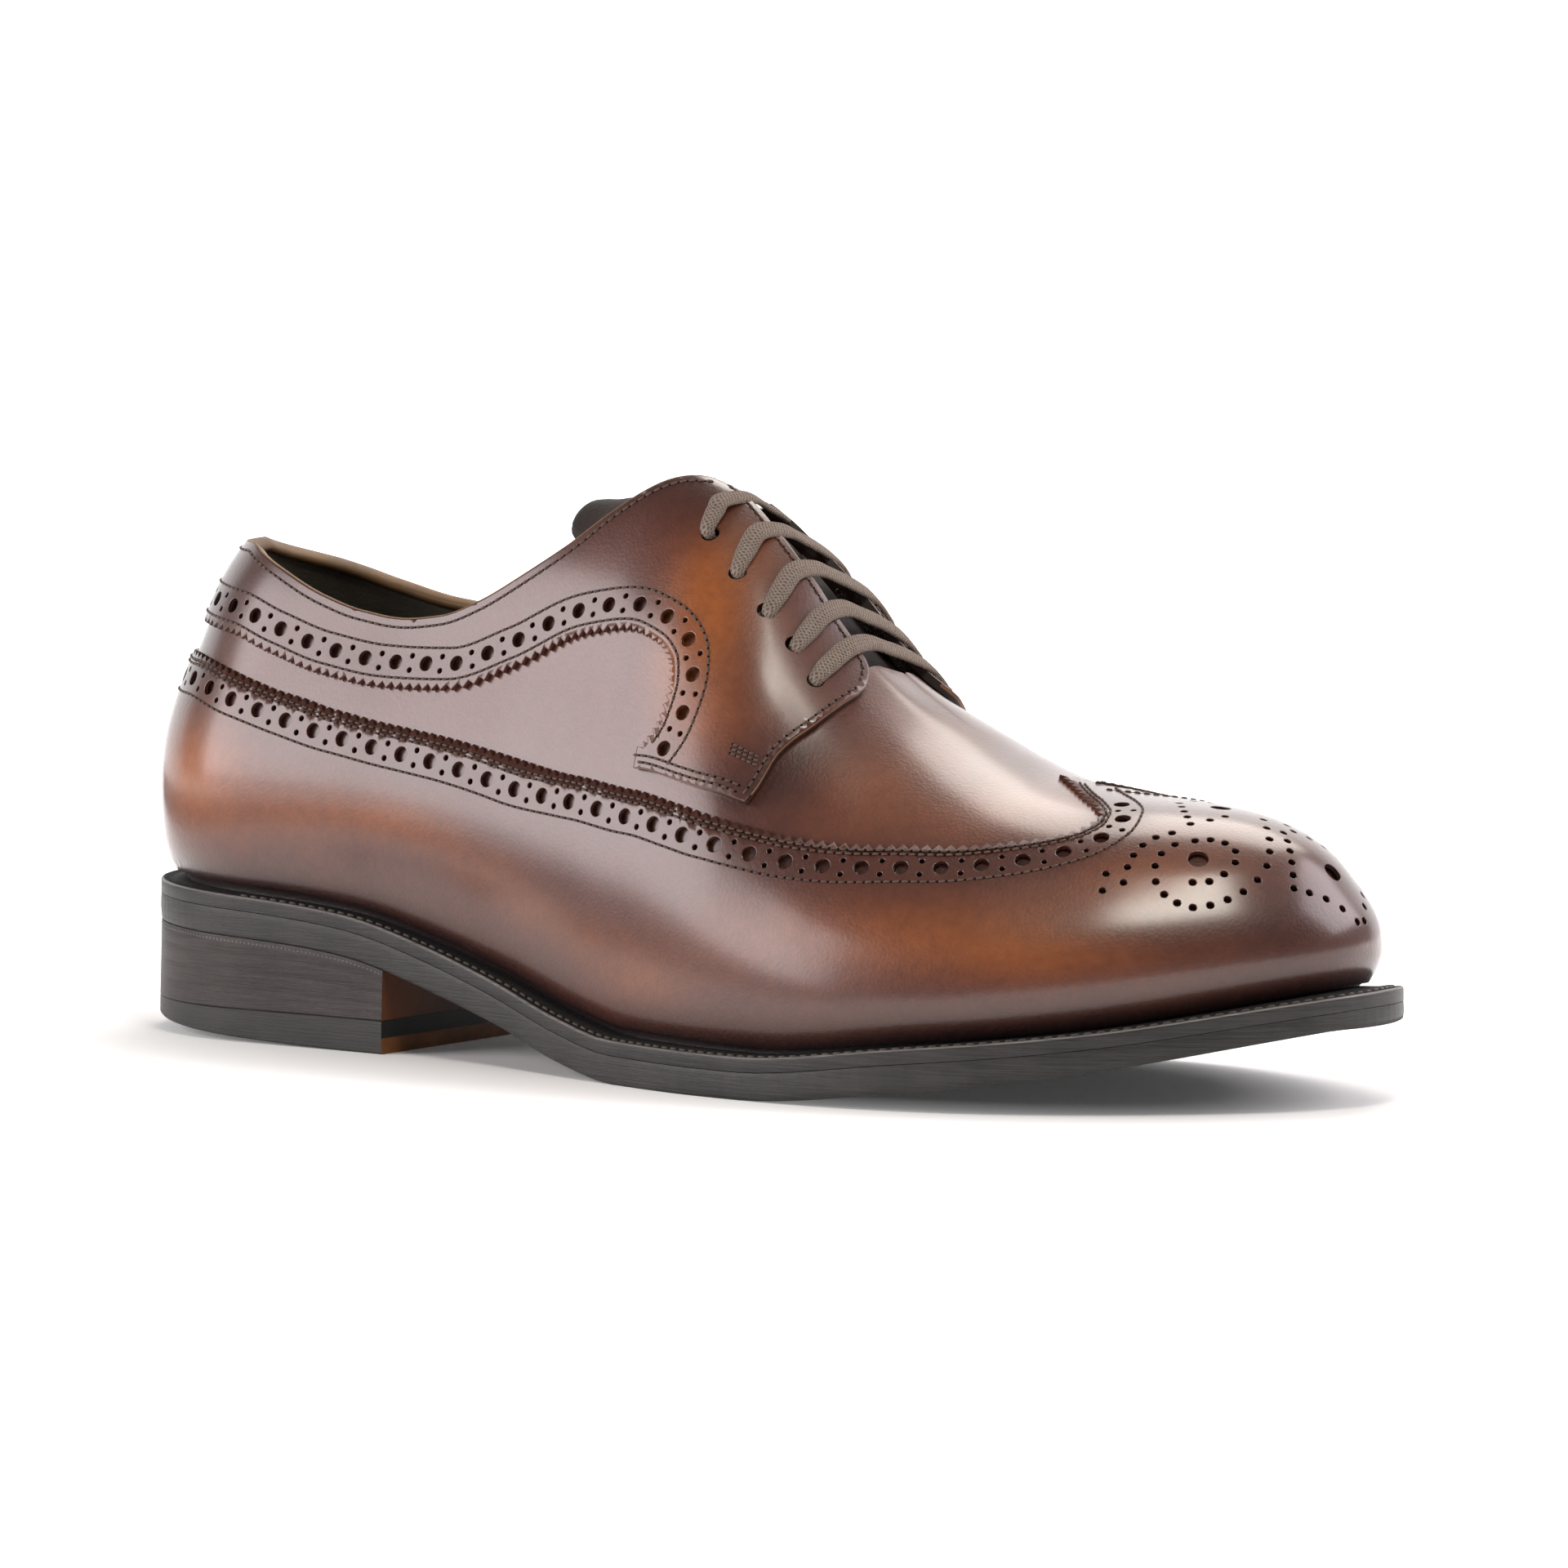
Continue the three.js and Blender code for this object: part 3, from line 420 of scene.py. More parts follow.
def nearness(points, lines, reach):
    """1 on the lines, falling to 0 at the reach in mm."""
    tree = kdtree.KDTree(sum(len(line[0]) for line in lines))
    count = 0
    for line in lines:
        for point in skin(*line):
            tree.insert(point, count)
            count += 1
    tree.balance()
    gap = np.array([tree.find(p)[2] for p in points.reshape(-1, 3)]).reshape(points.shape[:-1])
    return np.exp(-(gap / reach) ** 2)


class Nodes:
    """A short hand for one material's nodes."""

    def __init__(self, name, **principled):
        self.look = bpy.data.materials.new(name)
        self.look.use_nodes = True
        self.tree = self.look.node_tree
        self.shader = self.tree.nodes["Principled BSDF"]
        for socket, value in principled.items():
            self.shader.inputs[socket.replace("_", " ")].default_value = value

    def add(self, kind, settings=None, **inputs):
        node = self.tree.nodes.new("ShaderNode" + kind)
        for key, value in (settings or {}).items():
            setattr(node, key, value)
        for key, value in inputs.items():
            place = int(key[1:]) if key[0] == "i" and key[1:].isdigit() else key.replace("_", " ")
            if isinstance(value, bpy.types.NodeSocket):
                self.tree.links.new(value, node.inputs[place])
            else:
                node.inputs[place].default_value = value
        return node

    def math(self, operation, a, b=0.0, clamp=False):
        return self.add("Math", {"operation": operation, "use_clamp": clamp}, i0=a, i1=b).outputs[0]

    def mix(self, share, a, b, blend="MIX"):
        node = self.add("Mix", {"data_type": "RGBA", "blend_type": blend})
        for place, value in ((0, share), (6, a), (7, b)):
            if isinstance(value, bpy.types.NodeSocket):
                self.tree.links.new(value, node.inputs[place])
            else:
                node.inputs[place].default_value = value if place == 0 else (*value, 1)
        return node.outputs[2]

    def ramp(self, value, *stops):
        node = self.add("ValToRGB", Fac=value)
        while len(node.color_ramp.elements) < len(stops):
            node.color_ramp.elements.new(0.5)
        for element, (place, shade) in zip(node.color_ramp.elements, stops):
            element.position = place
            element.color = (*shade, 1) if isinstance(shade, tuple) else (shade, shade, shade, 1)
        return node.outputs[0]

    def feed(self, socket, value):
        self.tree.links.new(value, self.shader.inputs[socket])


def burnished_calf(name, brown, tan, dark, gloss=0.42, grain=0.16, coat=1.0):
    """Crust calf, antiqued by hand: tan where it was rubbed, dark where wax was left. Its tan, dark and edge shares
    also carry painted shade above the welt and in the holes, and a painted reflection band along the waist.
    """
    calf = Nodes(name, Coat_Weight=coat, Coat_Roughness=0.22, Coat_IOR=1.5, Specular_IOR_Level=0.34)
    place = calf.add("TexCoord").outputs["Object"]
    finish = calf.add("Attribute", {"attribute_name": "patina_and_painted_light"})
    parts = calf.add("SeparateColor", Color=finish.outputs["Color"])
    cloud = calf.add("TexNoise", Vector=place, Scale=55.0, Detail=5.0, Roughness=0.6).outputs[0]
    fleck = calf.add("TexNoise", Vector=place, Scale=420.0, Detail=3.0, Roughness=0.6).outputs[0]
    drift = calf.math("MULTIPLY", calf.math("SUBTRACT", cloud, 0.5), 0.5)
    tan_share = calf.math("ADD", parts.outputs["Red"], calf.math("MULTIPLY", drift, 0.5), True)
    dark_share = calf.math("ADD", parts.outputs["Green"], calf.math("MULTIPLY", drift, -0.35), True)
    shade = calf.mix(tan_share, brown, tan)
    shade = calf.mix(dark_share, shade, dark)
    edge_share = calf.math("MULTIPLY", parts.outputs["Blue"], 0.7)
    shade = calf.mix(edge_share, shade, dark)
    mottle = calf.ramp(fleck, (0.3, 0.86), (0.7, 1.1))
    shade = calf.mix(1.0, shade, mottle, "MULTIPLY")
    calf.feed("Base Color", shade)
    cells = calf.add("TexVoronoi", {"feature": "SMOOTH_F1"}, Vector=place, Scale=1500.0, Smoothness=0.7)
    fine = calf.add("TexNoise", Vector=place, Scale=2600.0, Detail=3.0, Roughness=0.65).outputs[0]
    wave = calf.add("TexNoise", Vector=place, Scale=120.0, Detail=2.0).outputs[0]
    height = calf.math("ADD", calf.math("MULTIPLY", cells.outputs["Distance"], 0.6),
                       calf.math("MULTIPLY", fine, 0.5))
    height = calf.math("ADD", height, calf.math("MULTIPLY", wave, 0.2))
    bump = calf.add("Bump", Strength=grain, Distance=0.0008, Height=height).outputs[0]
    calf.feed("Normal", bump)
    calf.feed("Roughness", calf.math("ADD", gloss - 0.07, calf.math("MULTIPLY", cloud, 0.16)))
    return calf.look


chestnut = burnished_calf("chestnut_calf", (0.085, 0.024, 0.014), (0.280, 0.078, 0.015), (0.012, 0.004, 0.004))


def plain_leather(name, shade, deep, roughness=0.6, grain=0.12, scale=900.0):
    """Lining and sock leather, dull and fine grained."""
    hide = Nodes(name, Specular_IOR_Level=0.35)
    place = hide.add("TexCoord").outputs["Object"]
    cloud = hide.add("TexNoise", Vector=place, Scale=60.0, Detail=4.0).outputs[0]
    grit = hide.add("TexNoise", Vector=place, Scale=scale, Detail=3.0).outputs[0]
    hide.feed("Base Color", hide.mix(hide.ramp(cloud, (0.35, 0.0), (0.7, 1.0)), shade, deep))
    hide.feed("Normal", hide.add("Bump", Strength=grain, Distance=0.0006, Height=grit).outputs[0])
    hide.feed("Roughness", hide.math("ADD", roughness - 0.1, hide.math("MULTIPLY", grit, 0.2)))
    return hide.look


lining = plain_leather("lining_leather", (0.115, 0.102, 0.080), (0.062, 0.056, 0.044), 0.75, 0.3, 1500.0)
cut_edge = plain_leather("tan_cut_edge", (0.30, 0.165, 0.075), (0.17, 0.085, 0.04), 0.55)


def collar_girth(side, rounds):
    return through(np.array(COLLAR[side]), 1, rounds)


columns = np.unique(np.concatenate([np.linspace(0, 0.57, 110), np.linspace(0.57, 0.59, 14), np.linspace(0.59, 1, 90)]))
height_steps = np.linspace(0, 1, 72)
body_points, body_faces, body_looks, body_normals, body_tints = [], [], [], [], []
body_start = 0
for side in (OUTER, INNER):
    # the collar line falls to the throat in a short curve under the facing
    fall = ease((columns - 0.425) / 0.045)
    tops = np.minimum(collar_girth(side, columns) - 0.006, 1) * (1 - fall) + 0.6 * fall
    tops = np.where(columns > 0.5, 0.6 + 0.4 * ease((columns - 0.579) / 0.007), tops)
    girth = tops[:, None] * height_steps[None, :]
    rounds = np.broadcast_to(columns[:, None], girth.shape)
    rows = [trace(WING_HOLES, side, 1.5), trace(FACING_HOLES, side, 1.5)]
    under_rows_sunk_and_shaded = nearness(skin(side, rounds, girth), rows, 2.6)
    toe = ease((rounds - 0.755) / 0.02) * ease((girth - 0.16) / 0.05)
    under_rows_sunk_and_shaded = np.maximum(under_rows_sunk_and_shaded, toe)
    outside = lift(side, rounds, girth, -0.5 * under_rows_sunk_and_shaded)
    inside = lift(side, rounds, girth, -WALL)
    body_points += [outside.reshape(-1, 3), inside.reshape(-1, 3)]
    # painted shade: the skin under the hole rows and the toe medallion is darkened, so that the holes look dark at the
    # bottom; the same mask sinks the skin there
    tint = patina_and_painted_light(side, rounds, girth, 0.55 * under_rows_sunk_and_shaded)
    body_tints += [tint.reshape(-1, 4), tint.reshape(-1, 4)]
    count = girth.size
    wide = len(height_steps)
    out_normals = square(side, rounds, girth).reshape(-1, 3)
    point_normals = np.concatenate([out_normals, -out_normals])
    for i in range(len(columns) - 1):
        for j in range(wide - 1):
            a, b, c, d = i * wide + j, i * wide + j + 1, (i + 1) * wide + j + 1, (i + 1) * wide + j
            loop = (a, d, c, b) if side == OUTER else (a, b, c, d)
            under = [count + k for k in loop[::-1]]
            body_faces += [[body_start + k for k in loop], [body_start + k for k in under]]
            body_looks += [0, 1]
            body_normals += [point_normals[list(loop)], point_normals[under]]
        for j in (0, wide - 1):
            if j and tops[i] > 0.999:
                continue
            a, b = i * wide + j, (i + 1) * wide + j
            loop = (a, a + count, b + count, b) if (j == 0) == (side == OUTER) else (a, b, b + count, a + count)
            rim = np.array([0, 0, -1.0 if j == 0 else 1.0])
            body_faces.append([body_start + k for k in loop])
            body_looks.append(2)
            body_normals.append(np.tile(rim, (4, 1)))
    body_start += 2 * count
vamp_quarters = make_piece("vamp_quarters", np.concatenate(body_points), body_faces, [chestnut, lining, cut_edge],
                           body_looks, np.concatenate(body_normals), np.concatenate(body_tints))
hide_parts("upper")

# Wing
# A second layer of calf over toe and sides, gimped along its top edge and
# pierced in a row of large and small holes, stitched down on both sides of it.
WING_LOW, WING_TOP = 0.05, 1.0
HOLE_PITCH = 8.2
LARGE_HOLE = 1.6
SMALL_HOLE = 0.6
SMALL_ASIDE = 1.55
TOOTH = 2.4
TOOTH_DEEP = 1.3


def spread(side, rounds, girth):
    """Places on a flat chart: the skin rolled out sideways from its ridge."""
    foot = feather(rounds, side)
    x = ridge_x(foot[..., 0])
    ridge = np.stack([x, swing(along_at(x))], -1)
    across = unit(ridge - foot[..., :2])
    length = through(GIRTH_LENGTHS[OUTER if np.all(side < 0) else INNER], 1, rounds) if np.ndim(side) == 0 else (
        np.where(side < 0, through(GIRTH_LENGTHS[OUTER], 1, rounds), through(GIRTH_LENGTHS[INNER], 1, rounds)))
    return ridge - across * ((1 - girth) * length)[..., None]


GIRTH_LENGTHS = {}
for side in (OUTER, INNER):
    stops = np.linspace(0, 1, 60)
    ring = skin(side, stops[:, None], np.linspace(0, 1, 80)[None, :])
    lengths = np.linalg.norm(np.diff(ring, axis=1), axis=-1).sum(1)
    GIRTH_LENGTHS[side] = np.stack([stops, lengths], 1)


def pierced_row(line, ends=(0.5, 0.5)):
    """Centres and radii of a row of large holes with a pair of small ones between."""
    points = skin(*line)
    length = np.concatenate([[0], np.cumsum(np.linalg.norm(np.diff(points, axis=0), axis=1))])
    count = int((length[-1] - sum(ends) * HOLE_PITCH) / HOLE_PITCH)
    places = ends[0] * HOLE_PITCH + np.arange(count + 1) * HOLE_PITCH
    forward = unit(np.gradient(points, axis=0))
    away = np.cross(square(*line), forward)
    pick = lambda values, at: np.stack([np.interp(at, length, values[:, k]) for k in range(3)], 1)
    holes = [(p, LARGE_HOLE) for p in pick(points, places)]
    middles = places[:-1] + HOLE_PITCH / 2
    for turn in (-1, 1):
        holes += [(p, SMALL_HOLE) for p in pick(points, middles) + turn * SMALL_ASIDE * pick(away, middles)]
    return holes


def hole_rings(holes):
    """For each hole, rings of places: at its wall and a little outside it."""
    rings = []
    for centre, radius in holes:
        corners = 16 if radius > 1 else 9
        angle = np.linspace(0, 2 * np.pi, corners, endpoint=False)
        out = square(*[part[None] for part in map(np.asarray, np.array(seat(centre[None]))[:, 0])])[0]
        first = unit(np.cross(out, [0.3, 0.1, 0.9]))
        second = np.cross(out, first)
        for more in (0.0, 0.16):
            ring = centre + (radius + more) * (np.cos(angle)[:, None] * first + np.sin(angle)[:, None] * second)
            rings.append((seat(ring), more > 0, centre, radius))
    return rings


def gimped(line, depth, start_tip=True):
    """A line of teeth: every second place is drawn back."""
    steps = np.arange(len(line[0]))
    drawn = np.where(steps % 2 == (0 if start_tip else 1), 0.0, depth)
    return beside(line, drawn)


def inside_loops(points, loops):
    """Which flat points lie inside an odd number of loops."""
    count = np.zeros(len(points), dtype=int)
    for loop in loops:
        low, high = loop.min(0), loop.max(0)
        near = np.where((points >= low).all(1) & (points <= high).all(1))[0]
        if not len(near):
            continue
        p = points[near]
        a, b = loop, np.roll(loop, -1, axis=0)
        hits = np.zeros(len(p), dtype=int)
        for chunk in np.array_split(np.arange(len(a)), max(1, len(a) // 200)):
            ax, ay, bx, by = a[chunk, 0], a[chunk, 1], b[chunk, 0], b[chunk, 1]
            crosses = (ay > p[:, 1:2]) != (by > p[:, 1:2])
            rise = np.where(by == ay, 1e-12, by - ay)
            hits += (crosses & (p[:, 0:1] < (bx - ax) * (p[:, 1:2] - ay) / rise + ax)).sum(1)
        count[near] += hits % 2
    return count % 2 == 1


GUARD = 0.42
RAW_EDGE = 0.75


def guard_line(loop):
    """A line of free places just inside a cut edge, so that its bevel stays narrow."""
    flat = spread(*loop)
    turn = np.sign((flat[:, 0] * np.roll(flat[:, 1], -1) - np.roll(flat[:, 0], -1) * flat[:, 1]).sum())
    points = skin(*loop)
    ahead = unit(np.roll(points, -1, axis=0) - np.roll(points, 1, axis=0))
    flat_ahead = np.roll(flat, -1, axis=0) - np.roll(flat, 1, axis=0)
    into = np.cross(square(*loop), ahead)
    probe = spread(*seat(points + into * 0.5)) - flat
    left = flat_ahead[:, 0] * probe[:, 1] - flat_ahead[:, 1] * probe[:, 0]
    return seat(points + into * (np.sign(left) * turn * GUARD)[:, None])


def cut_panel(name, loops, tones, holes, filling, low, top, looks, near_lines, near_reach):
    """A leather panel cut to its outline loops and pierced, laid on the skin.
    Loops and filling are places on the skin, holes are centres with radii.
    Tones say how dark the wax lies on each loop's edge, None for a hidden one.
    Top is a function of the place."""
    places, edges, rim, tone = [], [], [], []
    count = 0

    def add_ring(ring, wall, wax):
        nonlocal count
        size = len(ring[0])
        places.append(ring)
        rim.append(np.full(size, 1 if wall else 0))
        tone.append(np.full(size, wax))
        edges.extend([(count + k, count + (k + 1) % size) for k in range(size)])
        count += size

    flat_loops, flat_holes = [], []
    for loop, wax in zip(loops, tones):
        flat_loops.append(spread(*loop))
        add_ring(loop, wax is not None, wax or 0.0)
    outline_count = count
    for ring, skirt, centre, radius in hole_rings(holes):
        if not skirt:
            flat_holes.append(spread(*ring))
        # painted shade: the hole rims and walls get a dark edge share of 0.85
        add_ring(ring, not skirt, 0.0 if skirt else 0.85)
    fixed = kdtree.KDTree(count)
    fixed_places = join(*places)
    for k, p in enumerate(skin(*fixed_places)):
        fixed.insert(p, k)
    fixed.balance()
    fill_points = skin(*filling)
    clear = np.array([fixed.find(p)[2] > 1.0 for p in fill_points])
    guards = join(*[guard_line(loop) for loop, wax in zip(loops, tones) if wax is not None])
    guard_clear = np.array([fixed.find(p)[2] > 0.3 * GUARD for p in skin(*guards)])
    filling = join(tuple(part[guard_clear] for part in guards), tuple(part[clear] for part in filling))
    inside = inside_loops(spread(*filling), flat_loops) & ~inside_loops(spread(*filling), flat_holes)
    filling = tuple(part[inside] for part in filling)
    places.append(filling)
    rim.append(np.zeros(len(filling[0]), dtype=int))
    tone.append(np.zeros(len(filling[0])))
    side, rounds, girth = join(*places)
    rim, tone = np.concatenate(rim), np.concatenate(tone)
    outline = np.arange(len(rim)) < outline_count
    flat = spread(side, rounds, girth)
    out = geometry.delaunay_2d_cdt([Vector(p) for p in flat.tolist()], edges, [], 0, 1e-6, True)
    flat_out = np.array([tuple(v) for v in out[0]])
    origin = np.array([ids[0] if ids else -1 for ids in out[3]])
    triangles = np.array([f for f in out[2] if len(f) == 3])
    triangles = triangles[(origin[triangles] >= 0).all(1)]
    middle = flat_out[triangles].mean(1)
    keep = inside_loops(middle, flat_loops)
    for hole in flat_holes:
        low_corner, high_corner = hole.min(0), hole.max(0)
        near = np.where((middle >= low_corner).all(1) & (middle <= high_corner).all(1))[0]
        keep[near[inside_loops(middle[near], [hole])]] = False
    triangles = origin[triangles[keep]]
    used, back = np.unique(triangles, return_inverse=True)
    triangles = back.reshape(-1, 3)
    side, rounds, girth = side[used], rounds[used], girth[used]
    rim, tone, outline = rim[used], tone[used], outline[used]
    surface = skin(side, rounds, girth)
    out_vectors = square(side, rounds, girth)
    corner = surface[triangles]
    facing_out = (np.cross(corner[:, 1] - corner[:, 0], corner[:, 2] - corner[:, 0]) * out_vectors[triangles[:, 0]]).sum(1) > 0
    triangles[~facing_out] = triangles[~facing_out][:, ::-1]
    thick = top(side, rounds, girth) - np.where(rim == 1, 0.13, 0)
    upper_points = surface + out_vectors * thick[:, None]
    lower_points = surface + out_vectors * low
    size = len(surface)
    pairs = {}
    for a, b, c in triangles.tolist():
        for edge in ((a, b), (b, c), (c, a)):
            pairs[edge] = True
    walls = [(a, b) for a, b in pairs if (b, a) not in pairs]
    faces = triangles.tolist() + (triangles[:, ::-1] + size).tolist()
    layered = len(looks) > 1
    if layered:
        middle_points = surface + out_vectors * (thick - RAW_EDGE)[:, None]
        faces += [(b, a, a + 2 * size, b + 2 * size) for a, b in walls]
        faces += [(b + 2 * size, a + 2 * size, a + size, b + size) for a, b in walls]
    else:
        faces += [(b, a, a + size, b + size) for a, b in walls]
    wall_out = np.zeros((size, 3))
    for a, b in walls:
        away = np.cross(surface[b] - surface[a], out_vectors[a])
        wall_out[a] += away
        wall_out[b] += away
    wall_out = unit(wall_out)
    soft = out_vectors.copy()
    soft[rim == 1] = unit(out_vectors[rim == 1] + 0.9 * wall_out[rim == 1])
    normals = np.concatenate([
        soft[triangles.ravel()], -out_vectors[triangles[:, ::-1].ravel()],
        *([np.concatenate([wall_out[[b, a, a, b]] for a, b in walls])] * (2 if layered else 1)),
    ])
    near = nearness(surface, near_lines, near_reach)
    tint = patina_and_painted_light(side, rounds, girth, near)
    tint[:, 2] = np.maximum(0.45 * tint[:, 2], tone)
    face_looks = np.zeros(len(faces), dtype=int)
    solid = [upper_points, lower_points]
    if layered:
        raw = np.array([outline[a] and rounds[a] > 0.497 and girth[a] > 0.385 for a, b in walls])
        start = 2 * len(triangles)
        at_laces = np.array([girth[a] > 0.84 for a, b in walls])
        face_looks[start:start + len(walls)] = np.where(raw, np.where(at_laces, 2, 1), 0)
        face_looks[start + len(walls):] = np.where(raw, 2, 0)
        solid.append(middle_points)
    return make_piece(name, np.concatenate(solid), faces, looks, face_looks.tolist(), normals,
                      np.concatenate([tint] * len(solid)))


def side_filling(side, spacing, low_round, high_round, low_girth=0.0, high_girth=1.0):
    """Places spread evenly over part of one side."""
    run = 0.0
    rounds = [low_round]
    while rounds[-1] < high_round:
        step = 0.002
        here = skin(side, np.array([rounds[-1], rounds[-1] + step]), 0.4)
        rounds.append(rounds[-1] + step * spacing / max(0.2, np.linalg.norm(here[1] - here[0])))
    all_rounds, all_girth = [], []
    for k, at in enumerate(rounds[:-1]):
        length = through(GIRTH_LENGTHS[side], 1, at)
        steps = max(2, int(length * (high_girth - low_girth) / spacing))
        shift = 0.5 if k % 2 else 0.0
        girth = low_girth + (high_girth - low_girth) * (np.arange(steps) + shift) / steps
        all_rounds.append(np.full(steps, at))
        all_girth.append(girth)
    rounds, girth = np.concatenate(all_rounds), np.concatenate(all_girth)
    return np.full(len(rounds), float(side)), rounds, girth


def wing_edge(side):
    return gimped(trace(WING_EDGE, side, TOOTH / 2), -TOOTH_DEEP)


def feather_line(side):
    rounds = np.linspace(0, 1, 240)
    return np.full(240, float(side)), rounds, np.full(240, 0.012)


wing_holes = []
for side in (OUTER, INNER):
    wing_holes += pierced_row(trace(WING_HOLES, side, 1.0), (0.5, 0.9))

# the pattern on the toe: x, distance aside of the toe's middle line, and radius, in mm
BIG, DOT = 2.05, 0.78
MEDALLION = [
    (225.4, 0.0, BIG), (232.7, 20.2, BIG), (250.5, 0.0, BIG),
    # ring of the side rosette, open towards the welt
    (230.0, 17.0, DOT), (232.4, 15.2, DOT), (235.1, 14.3, DOT), (237.7, 14.7, DOT), (238.9, 16.7, DOT),
    (238.2, 19.6, DOT), (236.4, 22.1, DOT), (233.8, 24.0, DOT),
    # the long curl round the rosette to the middle
    (227.2, 19.8, DOT), (226.0, 22.8, DOT), (226.2, 25.4, DOT), (227.6, 27.4, DOT), (230.0, 28.2, DOT),
    (232.8, 28.0, DOT), (235.6, 26.8, DOT), (238.3, 24.8, DOT), (240.6, 22.2, DOT), (242.4, 19.4, DOT),
    (243.6, 16.2, DOT), (243.7, 13.0, DOT), (242.5, 10.0, DOT), (240.6, 7.0, DOT), (238.0, 3.7, DOT),
    (235.0, 0.0, DOT),
    # the tail along the wing
    (225.0, 17.3, DOT), (223.0, 20.0, DOT), (221.8, 22.8, DOT), (221.4, 25.5, DOT), (221.6, 28.0, DOT),
    (222.2, 30.4, DOT), (218.4, 30.6, DOT), (219.2, 33.2, DOT),
    # the point towards the throat
    (226.4, 12.8, DOT), (224.2, 10.4, DOT), (222.0, 8.0, DOT), (219.8, 5.4, DOT), (217.6, 2.7, DOT),
    (228.6, 9.2, DOT), (229.8, 5.6, DOT),
    # the drop in front of the toe
    (240.6, 1.8, DOT), (242.8, 4.0, DOT), (244.7, 6.2, DOT), (246.3, 8.2, DOT), (247.7, 10.0, DOT),
    (249.0, 11.7, DOT), (251.0, 9.4, DOT), (253.1, 6.7, DOT), (255.2, 4.0, DOT), (256.8, 1.3, DOT),
]
for x, aside, radius in MEDALLION:
    for turn in ((OUTER,) if aside == 0 else (OUTER, INNER)):
        y = swing(along_at(x)) + turn * aside
        near_by = net_points[(np.abs(net_points[:, 0] - x) < 3) & (np.abs(net_points[:, 1] - y) < 3)]
        gap = np.hypot(near_by[:, 0] - x, near_by[:, 1] - y) - near_by[:, 2] * 0.01
        wing_holes.append((np.array([x, y, near_by[np.argmin(gap)][2]]), radius))

wing_outline = [join(feather_line(OUTER), tuple(part[-2:0:-1] for part in feather_line(INNER))),
                join(wing_edge(OUTER), tuple(part[-2:0:-1] for part in wing_edge(INNER)))]
wing_fill = join(side_filling(OUTER, 2.3, 0.0, 0.72, 0.12, 1.0), side_filling(INNER, 2.3, 0.004, 0.72, 0.12, 0.99),
                 side_filling(OUTER, 1.25, 0.72, 1.0, 0.12, 1.0), side_filling(INNER, 1.25, 0.72, 0.996, 0.12, 0.99),
                 side_filling(OUTER, 1.3, 0.0, 1.0, 0.02, 0.12), side_filling(INNER, 1.3, 0.004, 0.996, 0.02, 0.12))
wing_lines = [trace(WING_HOLES, side, 1.5) for side in (OUTER, INNER)]
wing = cut_panel("wing", wing_outline, (None, 0.35), wing_holes, wing_fill, WING_LOW,
                 lambda side, rounds, girth: np.full(len(rounds), WING_TOP), [chestnut], wing_lines, 6.5)
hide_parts("upper")

# Facings and collar bands
# One calf panel a side over the quarter: it carries the lace holes, turns into
# a band round the collar, and is gimped and pierced where it lies on the quarter.
FACING_LOW, BAND_TOP, FACING_TOP = 0.3, 1.25, 2.15
EYELET = 1.75


def lace_edge(side):
    """The edge by the laces. The inner one lies closer to the middle at the top."""
    if side == OUTER:
        return LACE_EDGE
    return [(at, girth + 0.05 * (1 - min(1, max(0, (at - 0.5) / 0.075)))) for at, girth in LACE_EDGE]


def facing_top(side, rounds, girth):
    """The band is one layer; the front, with the lace holes, is doubled."""
    return BAND_TOP + (FACING_TOP - BAND_TOP) * ease((rounds - 0.5) / 0.06)


raw_edge = plain_leather("raw_calf_edge", (0.30, 0.16, 0.085), (0.16, 0.075, 0.04), 0.5)
under_layer = plain_leather("under_layer", (0.03, 0.018, 0.014), (0.016, 0.01, 0.009), 0.6)
facings = {}
for side in (OUTER, INNER):
    hole_line = trace(FACING_HOLES, side, 1.0)
    low_edge = gimped(beside(trace(FACING_HOLES, side, TOOTH / 2), -5.7), TOOTH_DEEP)
    keep = (low_edge[2] > 0.33) | (low_edge[1] < 0.45)
    low_edge = tuple(part[keep] for part in low_edge)
    foot = backwards(trace(FOOT_EDGE, side, 2.0))
    front = backwards(trace(FRONT_EDGE, side, 2.0))
    lace_side = backwards(trace(lace_edge(side), side, 2.0))
    collar = backwards(trace([(0.002, COLLAR[side][0][1])] + COLLAR[side][1:], side, 2.0))
    lace_side = tuple(part[:-1] for part in lace_side)
    low_edge = (low_edge[0], np.maximum(low_edge[1], 0.002), low_edge[2])
    outline = join(low_edge, foot, front, lace_side, collar)
    holes = pierced_row(hole_line, (0.5, 0.55))
    holes += [(skin(side, np.array([r]), np.array([g]))[0], EYELET) for r, g in EYELETS]
    filling = side_filling(side, 2.3, 0.004, 0.6, 0.3, 0.99)
    lines = [trace(FACING_HOLES, side, 1.5), trace(COLLAR[side], side, 1.5), trace(LACE_EDGE, side, 1.5)]
    facing = cut_panel("facing_" + ("outer" if side == OUTER else "inner"), [outline], (0.2,), holes, filling,
                       FACING_LOW, facing_top, [chestnut, raw_edge, under_layer], lines, 5.0)
    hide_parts("facing_lateral" if side == OUTER else "facing_medial")
    facings[side] = facing

# Seams
# Waxed thread in rows of short stitches: each lies in the leather between two
# needle holes. One mesh holds the threads and one the needle holes.
STITCH_STEP = 1.9
STITCH_LONG = 1.45
THREAD = 0.27
NEEDLE = 0.36
stitch_points, stitch_faces = [], []
needle_points, needle_faces = [], []


